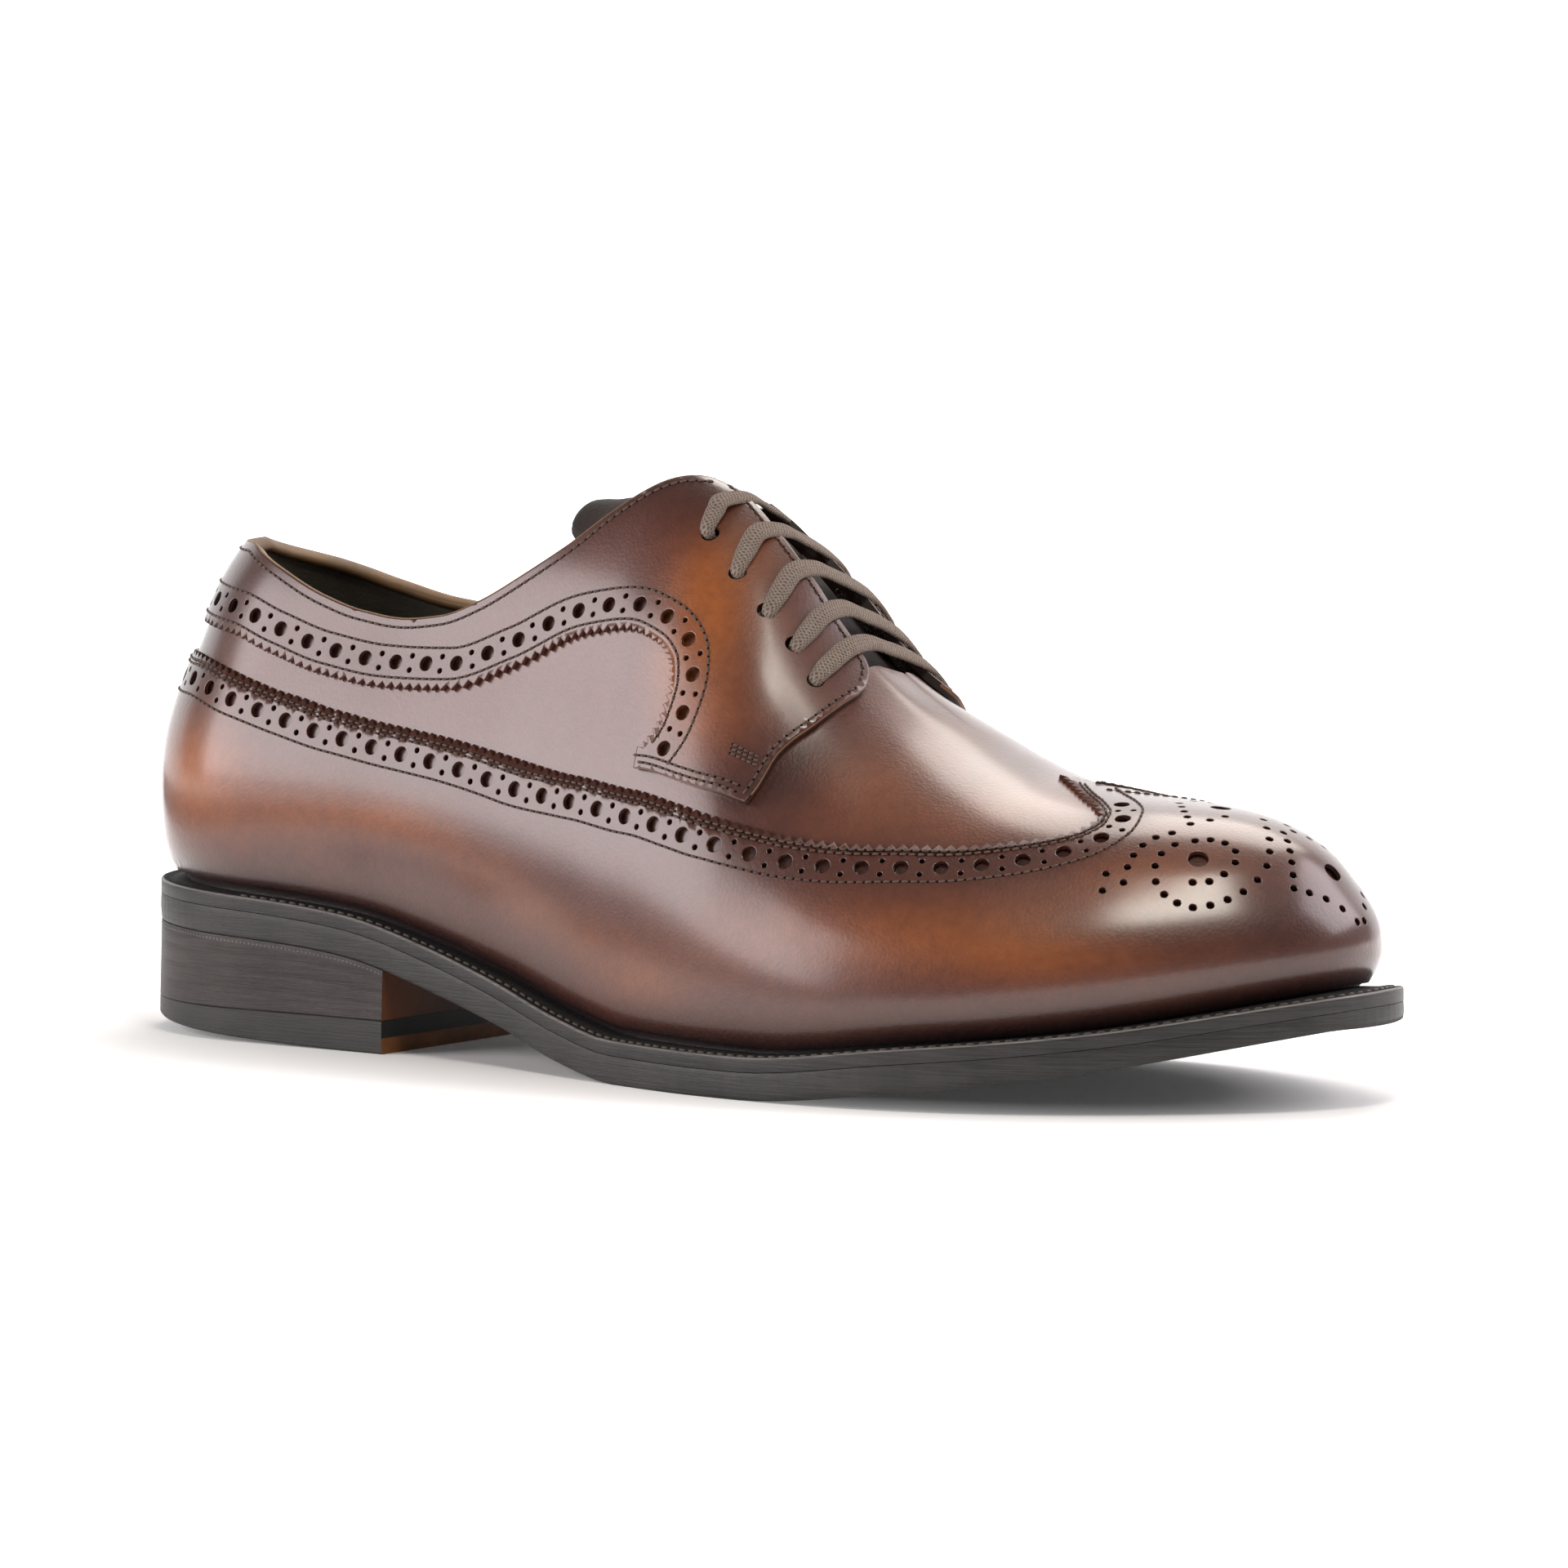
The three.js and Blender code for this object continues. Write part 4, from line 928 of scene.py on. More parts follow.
def sew(line, height, step=STITCH_STEP, long=STITCH_LONG, thread=THREAD, closed_ends=True):
    """Lays stitches along a line of places on the skin, at a height over it."""
    side, rounds, girth = line
    tops = height(side, rounds, girth) if callable(height) else np.full(len(rounds), height)
    out = square(side, rounds, girth)
    points = skin(side, rounds, girth) + out * tops[:, None]
    lay_stitches(points, out, step, long, thread)


def lay_stitches(points, out, step, long, thread):
    length = np.concatenate([[0], np.cumsum(np.linalg.norm(np.diff(points, axis=0), axis=1))])
    places = np.arange(step / 2, length[-1], step)
    pick = lambda values, at: np.stack([np.interp(at, length, values[:, k]) for k in range(3)], 1)
    centre, up = pick(points, places), unit(pick(out, places))
    forward = unit(pick(points, places + 0.3) - pick(points, places - 0.3))
    aside = np.cross(up, forward)
    rings = ((-0.5, 0.35, -0.16), (-0.3, 1.0, 0.0), (0.3, 1.0, 0.0), (0.5, 0.35, -0.16))
    around = np.linspace(0, 2 * np.pi, 6, endpoint=False)
    for k in range(len(places)):
        base = stitch_count[0]
        rows = []
        for along, wide, sink in rings:
            middle = centre[k] + forward[k] * along * long + up[k] * (sink + thread * 0.35)
            rows.append(middle + thread * wide * (np.cos(around)[:, None] * aside[k] + np.sin(around)[:, None] * up[k]))
        stitch_points.append(np.concatenate(rows))
        for r in range(len(rings) - 1):
            for c in range(6):
                d = (c + 1) % 6
                stitch_faces.append((base + r * 6 + c, base + r * 6 + d, base + r * 6 + 6 + d, base + r * 6 + 6 + c))
        stitch_faces.append(tuple(base + c for c in range(5, -1, -1)))
        stitch_faces.append(tuple(base + 18 + c for c in range(6)))
        stitch_count[0] += 24
        hole = centre[k] - forward[k] * step / 2
        base = needle_count[0]
        eight = np.linspace(0, 2 * np.pi, 6, endpoint=False)
        rim = hole + NEEDLE * (np.cos(eight)[:, None] * forward[k] + 0.85 * np.sin(eight)[:, None] * aside[k])
        needle_points.append(np.concatenate([rim + up[k] * 0.02, hole[None] + up[k] * 0.035, rim - up[k] * 0.15]))
        for c in range(6):
            d = (c + 1) % 6
            needle_faces.append((base + c, base + d, base + 6))
            needle_faces.append((base + 7 + c, base + 7 + d, base + d, base + c))
        needle_faces.append(tuple(base + 7 + c for c in range(5, -1, -1)))
        needle_count[0] += 13


stitch_count, needle_count = [0], [0]
for side in (OUTER, INNER):
    wing_row = trace(WING_HOLES, side, 1.0)
    facing_row = trace(FACING_HOLES, side, 1.0)
    for aside, height in ((3.0, WING_TOP), (3.95, WING_TOP), (-3.4, WING_TOP)):
        sew(beside(wing_row, aside), height)
    for aside in (3.4, -3.4):
        sew(tuple(part[:-3] for part in beside(facing_row, aside)), facing_top)
    sew(beside(trace(COLLAR[side], side, 1.0), -2.0), facing_top)
    sew(beside(trace(lace_edge(side), side, 1.0), -1.5), facing_top)
    front = trace(FRONT_EDGE, side, 1.0)
    sew(beside(front, -1.3), facing_top)
    foot = trace(FOOT_EDGE, side, 1.0)
    for aside in (-1.2, -2.6):
        sew(beside(foot, aside), facing_top)
    # the bar tack that holds the front corner: three short rows side by side
    for shift in (-0.8, 0.0, 0.8):
        tack = trace([(0.5535, 0.434 + shift * 0.01), (0.561, 0.446 + shift * 0.01), (0.568, 0.458 + shift * 0.01)],
                     side, 0.8)
        sew(tack, facing_top, 1.3, 1.2, 0.3)


def thread_look(name, shade, deep):
    """Waxed twisted thread."""
    waxed = Nodes(name, Roughness=0.55, Specular_IOR_Level=0.4)
    place = waxed.add("TexCoord").outputs["Object"]
    ply = waxed.add("TexNoise", Vector=place, Scale=900.0, Detail=2.0).outputs[0]
    waxed.feed("Base Color", waxed.mix(ply, deep, shade))
    waxed.feed("Normal", waxed.add("Bump", Strength=0.4, Distance=0.0003, Height=ply).outputs[0])
    return waxed.look


brown_thread = thread_look("brown_thread", (0.13, 0.075, 0.055), (0.035, 0.02, 0.016))
needle_dark = Nodes("needle_dark", Base_Color=(0.006, 0.004, 0.004, 1), Roughness=0.8, Specular_IOR_Level=0.1).look
seams = make_piece("seams", np.concatenate(stitch_points), stitch_faces, [brown_thread])
needle_holes = make_piece("needle_holes", np.concatenate(needle_points), needle_faces, [needle_dark])
for face in needle_holes.data.polygons:
    face.use_smooth = False

# Collar binding
# A narrow strip of tan goat folded over the collar edge, from the outside of
# the band to the inside of the lining.
BINDING = ((-0.1, 1.15), (0.06, 1.2), (0.2, 0.9), (0.26, 0.1), (0.22, -1.0), (0.0, -1.85), (-0.7, -1.95),
           (-1.5, -1.9), (-1.55, -1.45), (-0.4, -1.2), (-0.3, 0.4))
collar_line = join(backwards(trace(COLLAR[OUTER], OUTER, 1.6)), tuple(p[1:] for p in trace(COLLAR[INNER], INNER, 1.6)))
collar_points = skin(*collar_line)
collar_out = square(*collar_line)
collar_along = unit(np.gradient(collar_points, axis=0))
collar_up = np.cross(collar_out, collar_along)
collar_up = collar_up * np.sign(collar_up[:, 2:3])
binding_rings = np.stack([collar_points + collar_up * up + collar_out * out for up, out in BINDING], 1)


def skin_rings(rings, closed=False):
    """Faces between rings of points, with ends closed where the run is open."""
    count, size = rings.shape[:2]
    faces = []
    for i in range(count if closed else count - 1):
        for j in range(size):
            k = (j + 1) % size
            n = (i + 1) % count
            faces.append((i * size + j, i * size + k, n * size + k, n * size + j))
    if not closed:
        faces.append(tuple(range(size - 1, -1, -1)))
        faces.append(tuple((count - 1) * size + j for j in range(size)))
    return rings.reshape(-1, 3), faces


def outward(piece):
    """Turns the faces of a closed mesh outwards."""
    work = bmesh.new()
    work.from_mesh(piece.data)
    bmesh.ops.recalc_face_normals(work, faces=work.faces)
    work.to_mesh(piece.data)
    work.free()
    piece.data.update()


binding_tan = plain_leather("binding_tan", (0.22, 0.125, 0.055), (0.10, 0.055, 0.028), 0.5)
binding = make_piece("collar_binding", *skin_rings(binding_rings), [binding_tan])
outward(binding)

# Tongue
# Soft calf over a thin padding, with a rounded top. It lies under the facings
# and shows in the gap between them and above the top lace.
TONGUE = np.array([
    (74.0, 0.80, -7.0), (75.2, 0.735, -6.8), (79.0, 0.69, -6.8), (86.0, 0.655, -6.0), (98.0, 0.635, -3.6),
    (109.0, 0.63, -2.5), (120.0, 0.62, -2.7), (148.0, 0.62, -3.1), (158.0, 0.66, -2.7), (165.0, 0.70, -2.3), (170.0, 0.73, -2.0),
])
TONGUE_THICK = 2.0
tongue_x = np.concatenate([np.linspace(74, 80, 8), np.linspace(81.5, 158, 50), np.linspace(159.5, 170, 8)])
tongue_share = np.linspace(0, 1, 36)
tongue_rings = []
for x in tongue_x:
    edge, deep = through(TONGUE, 1, x), through(TONGUE, 2, x)
    girth = edge + (1 - edge) * tongue_share
    swell = 0.25 * np.sin(np.pi * np.clip(tongue_share * 1.2, 0, 1)) + 0.12 * math.sin(x * 0.9) * tongue_share
    swell = swell + 2.6 * ease((tongue_share - 0.5) / 0.4) * math.exp(-((x - 106) / 9) ** 2)
    thin = np.clip(np.minimum(tongue_share / 0.08, 1), 0.25, 1) * min(1, 0.35 + abs(x - 74) / 2.5)
    at = round_at(x)
    tops, bottoms = [], []
    for side in (OUTER, INNER):
        rounds = np.full(len(girth), float(at))
        top = lift(side, rounds, girth, deep - (1 - thin) * TONGUE_THICK * 0.5 + swell * 0.5)
        bottom = lift(side, rounds, girth, deep - TONGUE_THICK * (0.5 + 0.5 * thin))
        tops.append(top)
        bottoms.append(bottom)
    ring = np.concatenate([tops[0], tops[1][-2::-1], bottoms[1], bottoms[0][-2::-1]])
    tongue_rings.append(ring)
tongue_leather = plain_leather("tongue_calf", (0.022, 0.014, 0.011), (0.010, 0.007, 0.006), 0.7, 0.3)
tongue = make_piece("tongue_padded", *skin_rings(np.array(tongue_rings)), [tongue_leather])
outward(tongue)
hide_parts("tongue")

# Lace
# Flat waxed cotton, 4 mm wide, in straight bars: it comes up through one hole,
# crosses, goes down through the other and runs on under the facings.
LACE_WIDE, LACE_THICK = 4.4, 1.35
UNDER, OVER = -1.0, 2.8
BARS_AND_RUNS = (("bar", 3, OUTER), ("run", 3, 1, -0.04), ("bar", 1, INNER), ("run", 1, 0, 0.0), ("bar", 0, OUTER),
                 ("run", 0, 2, 0.04), ("bar", 2, INNER), ("run", 2, 4, -0.04), ("bar", 4, OUTER))
lace_middle, lace_out, lace_wide, lace_narrow = [], [], [], []


def lace_at(side, rounds, girth, height, wide_way, narrow):
    """One station: place, way out, way of the width and how much it is drawn in."""
    place = lift(side, np.array([rounds]), np.array([girth]), height)[0]
    out = square(side, np.array([rounds]), np.array([girth]))[0]
    ahead = unit(skin(side, np.array([rounds + 0.01]), np.array([girth])) - skin(side, np.array([rounds - 0.01]),
                                                                                   np.array([girth])))[0]
    over = np.cross(out, ahead)
    lace_middle.append(place)
    lace_out.append(out)
    lace_wide.append(ahead * wide_way[0] + over * wide_way[1])
    lace_narrow.append(narrow)


for step in BARS_AND_RUNS:
    if step[0] == "bar":
        hole, first = step[1], step[2]
        rounds, girth = EYELETS[hole]
        for turn in (first, -first):
            clear = 0.2 if turn == OUTER else -0.1
            stations = ((girth - 0.002, UNDER, 1), (girth, 0.9, 1), (girth + 0.006, 2.2, 0.85),
                        (girth + 0.045, OVER, 0.15), (0.815, OVER + clear, 0))
            if turn == -first:
                stations = stations[::-1]
                near_end, far_end = skin(np.array([first, turn]), rounds, 0.85)
                for share in (0.2, 0.5, 0.8):
                    lace_at(turn, rounds, 1.0, 0.0, (1, 0), 0)
                    arch = OVER + 0.25 - 1.6 * (share - 0.5) ** 2
                    lace_middle[-1] = near_end + (far_end - near_end) * share + lace_out[-1] * arch
            for at, height, narrow in stations:
                lace_at(turn, rounds + 0.0015 * math.sin(at * 9 + hole), at, height, (1, 0), narrow)
        last = -first
    else:
        (round_a, girth_a), (round_b, girth_b) = EYELETS[step[1]], EYELETS[step[2]]
        for share in (0.12, 0.3, 0.5, 0.7, 0.88):
            at_round = round_a + (round_b - round_a) * share
            at_girth = girth_a + (girth_b - girth_a) * share + step[3] * math.sin(math.pi * share)
            lace_at(last, at_round, at_girth, UNDER - 0.5 * math.sin(math.pi * share), (0, 1), 0.3)
lace_middle, lace_wide, lace_narrow = np.array(lace_middle), np.array(lace_wide), np.array(lace_narrow)
for k in range(1, len(lace_wide)):
    if np.dot(lace_wide[k], lace_wide[k - 1]) < 0:
        lace_wide[k] = -lace_wide[k]


def rounded(values, parts):
    """A soft line through the values, in parts steps for each pair."""
    values = np.asarray(values, float)
    padded = np.concatenate([values[:1], values, values[-1:]])
    out = []
    for k in range(len(values) - 1):
        a, b, c, d = padded[k], padded[k + 1], padded[k + 2], padded[k + 3]
        for t in np.arange(parts) / parts:
            out.append(0.5 * (2 * b + (c - a) * t + (2 * a - 5 * b + 4 * c - d) * t * t
                              + (3 * b - a - 3 * c + d) * t ** 3))
    out.append(values[-1])
    return np.array(out)


path = rounded(lace_middle, 8)
wide_ways = rounded(lace_wide, 8)
narrowed = np.clip(rounded(lace_narrow, 8), 0, 1)
forward = unit(np.gradient(path, axis=0))
wide_ways = unit(wide_ways - forward * (wide_ways * forward).sum(1, keepdims=True))
thick_ways = np.cross(forward, wide_ways)
around = np.linspace(0, 2 * np.pi, 18, endpoint=False)
lace_rings = []
for k in range(len(path)):
    half_wide = LACE_WIDE / 2 * (1 - 0.3 * narrowed[k])
    half_thick = LACE_THICK / 2 * (1 + 0.8 * narrowed[k])
    u = np.sign(np.cos(around)) * np.abs(np.cos(around)) ** 0.75 * half_wide
    v = np.sign(np.sin(around)) * np.abs(np.sin(around)) ** 0.8 * half_thick
    lace_rings.append(path[k] + u[:, None] * wide_ways[k] + v[:, None] * thick_ways[k])
lace_points, lace_faces = skin_rings(np.array(lace_rings))
lace_mesh = bpy.data.meshes.new("lace_woven")
lace_mesh.from_pydata((lace_points * MM).tolist(), [], lace_faces)
lace_mesh.polygons.foreach_set("use_smooth", np.ones(len(lace_mesh.polygons), dtype=bool))
run = np.concatenate([[0], np.cumsum(np.linalg.norm(np.diff(path, axis=0), axis=1))])
weave = lace_mesh.uv_layers.new(name="weave")
for face in lace_mesh.polygons:
    for loop in face.loop_indices:
        vertex = lace_mesh.loops[loop].vertex_index
        ring, place = divmod(vertex, 18)
        if face.index % 18 == 17 and place == 0 and len(face.vertices) == 4:
            place = 18
        weave.data[loop].uv = (run[ring], place * 0.52)
cotton = Nodes("waxed_cotton", Roughness=0.82, Specular_IOR_Level=0.25)
uv = cotton.add("UVMap", {"uv_map": "weave"}).outputs["UV"]
split = cotton.add("SeparateXYZ", Vector=uv)
left = cotton.math("SINE", cotton.math("MULTIPLY", cotton.math("ADD", split.outputs[0], split.outputs[1]), 7.2))
right = cotton.math("SINE", cotton.math("MULTIPLY", cotton.math("SUBTRACT", split.outputs[0], split.outputs[1]), 7.2))
strand = cotton.math("MAXIMUM", left, right)
fuzz = cotton.add("TexNoise", Vector=cotton.add("TexCoord").outputs["Object"], Scale=1300.0, Detail=4.0).outputs[0]
strand_share = cotton.ramp(cotton.math("ADD", cotton.math("MULTIPLY", strand, 0.4), cotton.math("MULTIPLY", fuzz, 0.8)),
                           (0.1, 0.0), (0.85, 1.0))
cotton.feed("Base Color", cotton.mix(strand_share, (0.085, 0.064, 0.052), (0.25, 0.195, 0.16)))
relief = cotton.math("ADD", cotton.math("MULTIPLY", strand, 0.6), fuzz)
cotton.feed("Normal", cotton.add("Bump", Strength=0.7, Distance=0.0003, Height=relief).outputs[0])
lace_mesh.materials.append(cotton.look)
lace = bpy.data.objects.new("lace_woven", lace_mesh)
bpy.context.scene.collection.objects.link(lace)
outward(lace)
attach(lace, "root")
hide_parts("lace")

# Sock
# A full-length leather sock glued over the insole, seen down in the heel.
SOCK_TOP, SOCK_INSET, SOCK_THICK = 2.8, 3.6, 3.0
sock_rounds = np.linspace(0, 1, 90)


def outline_ring(inset, height):
    """The foot outline drawn in or out in plan, at a height over the welt line."""
    outer, inner = feather(sock_rounds, OUTER), feather(sock_rounds[1:-1], INNER)[::-1]
    ring = np.concatenate([outer, inner])
    ahead = np.roll(ring, -1, axis=0) - np.roll(ring, 1, axis=0)
    away = unit(np.stack([ahead[:, 1], -ahead[:, 0]], 1))
    away[0], away[len(outer) - 1] = (-1, 0), (1, 0)
    wide = np.asarray(inset(ring[:, 0]) if callable(inset) else np.full(len(ring), inset))
    out = ring.copy()
    out[:, :2] += away * wide[:, None]
    out[:, 2] = ring[:, 2] + height
    return out


bpy.ops.object.select_all(action="DESELECT")
ring = outline_ring(-SOCK_INSET, SOCK_TOP)
bpy.ops.mesh.primitive_circle_add(vertices=len(ring), radius=0.05, fill_type="NOTHING", location=(0, 0, 0))
sock = bpy.context.object
sock.name = "sock"
sock.data.name = "sock"
for vertex, place in zip(sock.data.vertices, ring):
    vertex.co = Vector(place * MM)
bpy.ops.object.mode_set(mode="EDIT")
bpy.ops.mesh.select_all(action="SELECT")
bpy.ops.mesh.extrude_edges_move(TRANSFORM_OT_translate={"value": (0, 0, -SOCK_THICK * MM)})
bpy.ops.object.mode_set(mode="OBJECT")
count = len(ring)
work = bmesh.new()
work.from_mesh(sock.data)
work.verts.ensure_lookup_table()
for level, turn in ((0, 1), (count, -1)):
    half = count // 2
    pairs = [(level + k, level + (count - k) % count) for k in range(1, half)]
    for (a, b), (c, d) in zip(pairs[:-1], pairs[1:]):
        work.faces.new([work.verts[v] for v in ((a, c, d, b) if turn > 0 else (b, d, c, a))])
    work.faces.new([work.verts[v] for v in ((level, pairs[0][0], pairs[0][1]))])
    work.faces.new([work.verts[v] for v in ((level + half, pairs[-1][1], pairs[-1][0]))])
bmesh.ops.recalc_face_normals(work, faces=work.faces)
work.to_mesh(sock.data)
work.free()
sock.data.materials.append(plain_leather("sock_leather", (0.075, 0.052, 0.034), (0.045, 0.032, 0.022), 0.55))
bpy.ops.object.shade_smooth_by_angle(angle=math.radians(40))
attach(sock, "root")
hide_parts("insole")

# Welt
# A strip of dark leather stitched round the feather, with its edge trimmed
# flush to the sole. Pale grey lockstitches lie in a groove on its top.
WELT_THICK, WELT_INSET = 3.0, 4.5
SOLE_EDGE = 8.8
welt_wave = 0.12


def edge_ring(reach, drop):
    """A ring outside the foot outline by a share of the welt's reach."""
    return outline_ring(lambda x: reach_at(x) + reach, -drop)


welt_profile = [edge_ring(0.0, 0.7), edge_ring(-0.04, 0.3), edge_ring(-0.22, 0.06), edge_ring(-0.5, -0.02),
                edge_ring(-1.1, 0.0), edge_ring(-1.5, 0.25), edge_ring(-2.7, 0.35), edge_ring(-3.0, 0.05),
                outline_ring(-WELT_INSET, 0.0), outline_ring(-WELT_INSET, -WELT_THICK),
                edge_ring(-0.3, WELT_THICK - 0.02), edge_ring(-0.05, WELT_THICK - 0.04),
                edge_ring(0.0, WELT_THICK - 0.12)]
welt_points, welt_faces = skin_rings(np.array(welt_profile).transpose(1, 0, 2), closed=True)


def edge_ink(name, shade, light, streak=0.5, gloss=0.36):
    """Leather edge, inked, waxed and ironed: fine streaks run along it."""
    ink = Nodes(name, Specular_IOR_Level=0.42, Coat_Weight=0.1, Coat_Roughness=0.25)
    place = ink.add("TexCoord").outputs["Object"]
    squash = ink.add("Mapping", Vector=place)
    squash.inputs["Scale"].default_value = (60, 60, 2600)
    streaks = ink.add("TexNoise", Vector=squash.outputs[0], Scale=1.0, Detail=4.0, Roughness=0.7).outputs[0]
    cloud = ink.add("TexNoise", Vector=place, Scale=90.0, Detail=4.0).outputs[0]
    share = ink.ramp(ink.math("ADD", ink.math("MULTIPLY", streaks, 0.8), ink.math("MULTIPLY", cloud, 0.3)),
                     (0.38, 0.0), (0.68, 1.0))
    ink.feed("Base Color", ink.mix(share, shade, light))
    ink.feed("Normal", ink.add("Bump", Strength=streak, Distance=0.0004, Height=streaks).outputs[0])
    ink.feed("Roughness", ink.math("ADD", gloss, ink.math("MULTIPLY", streaks, 0.25)))
    return ink.look


dark_edge = edge_ink("dark_inked_edge", (0.005, 0.0045, 0.0045), (0.034, 0.031, 0.030), 0.5)
welt_black = plain_leather("welt_top", (0.012, 0.009, 0.008), (0.007, 0.006, 0.006), 0.75, 0.4)
sides = len(welt_profile)
# painted highlight: the welt's top outer corner is coloured a lighter grey, standing in for the light it catches
welt_corner_highlight = edge_ink("welt_corner_highlight", (0.07, 0.064, 0.06), (0.20, 0.185, 0.175), 0.3, 0.35)
welt_looks = [{0: 0, 1: 2, 2: 2}.get(k % sides, 1 if k % sides <= 8 else 0) for k in range(len(welt_faces))]
welt = make_piece("welt_strip", welt_points, welt_faces, [dark_edge, welt_black, welt_corner_highlight], welt_looks)
outward(welt)
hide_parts("welt")

WELT_STITCH, WELT_STITCH_LONG = 2.6, 1.9
stitch_points, stitch_faces, needle_points, needle_faces = [], [], [], []
stitch_count, needle_count = [0], [0]
welt_row = outline_ring(lambda x: reach_at(x) - 2.1, -0.2)
for part in (welt_row[:90], welt_row[89:][::-1]):
    ahead = part[:, 0] > 6
    up = np.tile([0, 0, 1.0], (ahead.sum(), 1))
    lay_stitches(part[ahead], up, WELT_STITCH, WELT_STITCH_LONG, 0.36)
grey_thread = thread_look("grey_thread", (0.12, 0.10, 0.09), (0.03, 0.026, 0.024))
welt_seam = make_piece("welt_seam", np.concatenate(stitch_points), stitch_faces, [grey_thread])

# Outsole
# One thickness of sole leather under the welt, from the toe to the heel seat,
# its edge wheeled in a fine row of notches where the tread begins.
NOTCH = 0.16
NOTCH_STEP = 0.55


def under_ring(reach, rise, drop=0.0):
    """A ring at the outsole's edge between welt and underside."""
    ring = edge_ring(reach, 0.0)
    top = ring[:, 2] - WELT_THICK - 0.03
    low = under_height(ring[:, 0])
    ring[:, 2] = low + (top - low) * rise - drop
    return ring


def finer(ring, step):
    """The closed ring in even steps."""
    closed = np.concatenate([ring, ring[:1]])
    length = np.concatenate([[0], np.cumsum(np.linalg.norm(np.diff(closed, axis=0), axis=1))])
    even = np.linspace(0, length[-1], int(length[-1] / step), endpoint=False)
    return even, np.stack([np.interp(even, length, closed[:, k]) for k in range(3)], 1)


sole_rings = []
sole_shape = ((-5.0, 1.0), (-0.25, 1.0), (-0.04, 0.997), (0.0, 0.98), (0.06, 0.75), (0.1, 0.45), (0.0, 0.24), (-0.05, 0.1),
              (-0.2, 0.02), (-0.5, 0.0), (-6.0, 0.0))
even = None
for reach, rise in sole_shape:
    ring = under_ring(reach, rise)
    closed = np.concatenate([ring, ring[:1]])
    if even is None:
        outer_ring = under_ring(0.0, 0.5)
        outer_closed = np.concatenate([outer_ring, outer_ring[:1]])
        sole_length = np.concatenate([[0], np.cumsum(np.linalg.norm(np.diff(outer_closed, axis=0), axis=1))])
        even = np.linspace(0, sole_length[-1], 2 * int(sole_length[-1] / NOTCH_STEP / 2) * 2, endpoint=False)
    dense = np.stack([np.interp(even, sole_length, closed[:, k]) for k in range(3)], 1)
    if 0.0 < rise < 0.15:
        centre = np.array([115.0, 0.0])
        away = unit(dense[:, :2] - centre)
        notch = np.where(np.arange(len(dense)) % 2 == 0, NOTCH, 0.0) * ease((dense[:, 0] - 110) / 30)
        dense[:, :2] -= away * notch[:, None]
    sole_rings.append(dense)
sole_rings = np.array(sole_rings).transpose(1, 0, 2)
count, size = sole_rings.shape[:2]
sole_points = sole_rings.reshape(-1, 3)
sole_faces = []
for i in range(count):
    for j in range(size - 1):
        n = (i + 1) % count
        sole_faces.append((i * size + j, i * size + j + 1, n * size + j + 1, n * size + j))
half = count // 2
for j in (0, size - 1):
    for k in range(half):
        a, b = k * size + j, (k + 1) * size + j
        c, d = ((count - k - 1) % count) * size + j, ((count - k) % count) * size + j
        loop = [a, b, c, d]
        loop = [v for n, v in enumerate(loop) if v not in loop[:n]]
        if len(loop) > 2:
            sole_faces.append(tuple(loop) if j == 0 else tuple(loop[::-1]))
outsole = make_piece("outsole_leather", sole_points, sole_faces, [dark_edge])
outward(outsole)
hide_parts("outsole")

# Heel
# A stack of leather lifts with a rubber top piece, inked round the outside.
# Its breast shows bare brown leather with one dark lift near the ground.
HEEL_BREAST = 46.5
TOP_PIECE = 7.0
HEEL_TAPER = -0.7
BACK_RISE = 3.4


def heel_outline(draw_in, count=140):
    """The heel seen from above: the sole's outline cut off at the breast."""
    ring = outline_ring(lambda x: reach_at(x) - draw_in, 0.0)
    outer, inner = ring[:90], np.concatenate([ring[:1], ring[89:][::-1]])[:91]
    out = []
    for part in (outer, inner):
        part = part[part[:, 0] < HEEL_BREAST]
        out.append(part)
    return np.concatenate([out[0][::-1], out[1][1:]])


def breast_cut(points, reach, side_rows):
    return points


heel_rounds = np.linspace(0, round_at(HEEL_BREAST), 70)


def heel_ring(draw_in):
    """Plan points of the heel edge from the outer breast corner round to the inner."""
    parts = []
    for side in (OUTER, INNER):
        foot = feather(heel_rounds, side)
        ahead = np.gradient(foot, axis=0)
        away = unit(np.stack([ahead[:, 1], -ahead[:, 0]], 1)) * (-side * -1)
        away = away * np.where((away[:, 1] * side) < 0, -1, 1)[:, None]
        away[0] = (-1, 0)
        plan = foot[:, :2] + away * (reach_at(foot[:, 0]) - draw_in)[:, None]
        plan[:, 0] = np.minimum(plan[:, 0], HEEL_BREAST)
        parts.append(plan)
    return np.concatenate([parts[0][::-1], parts[1][1:]])


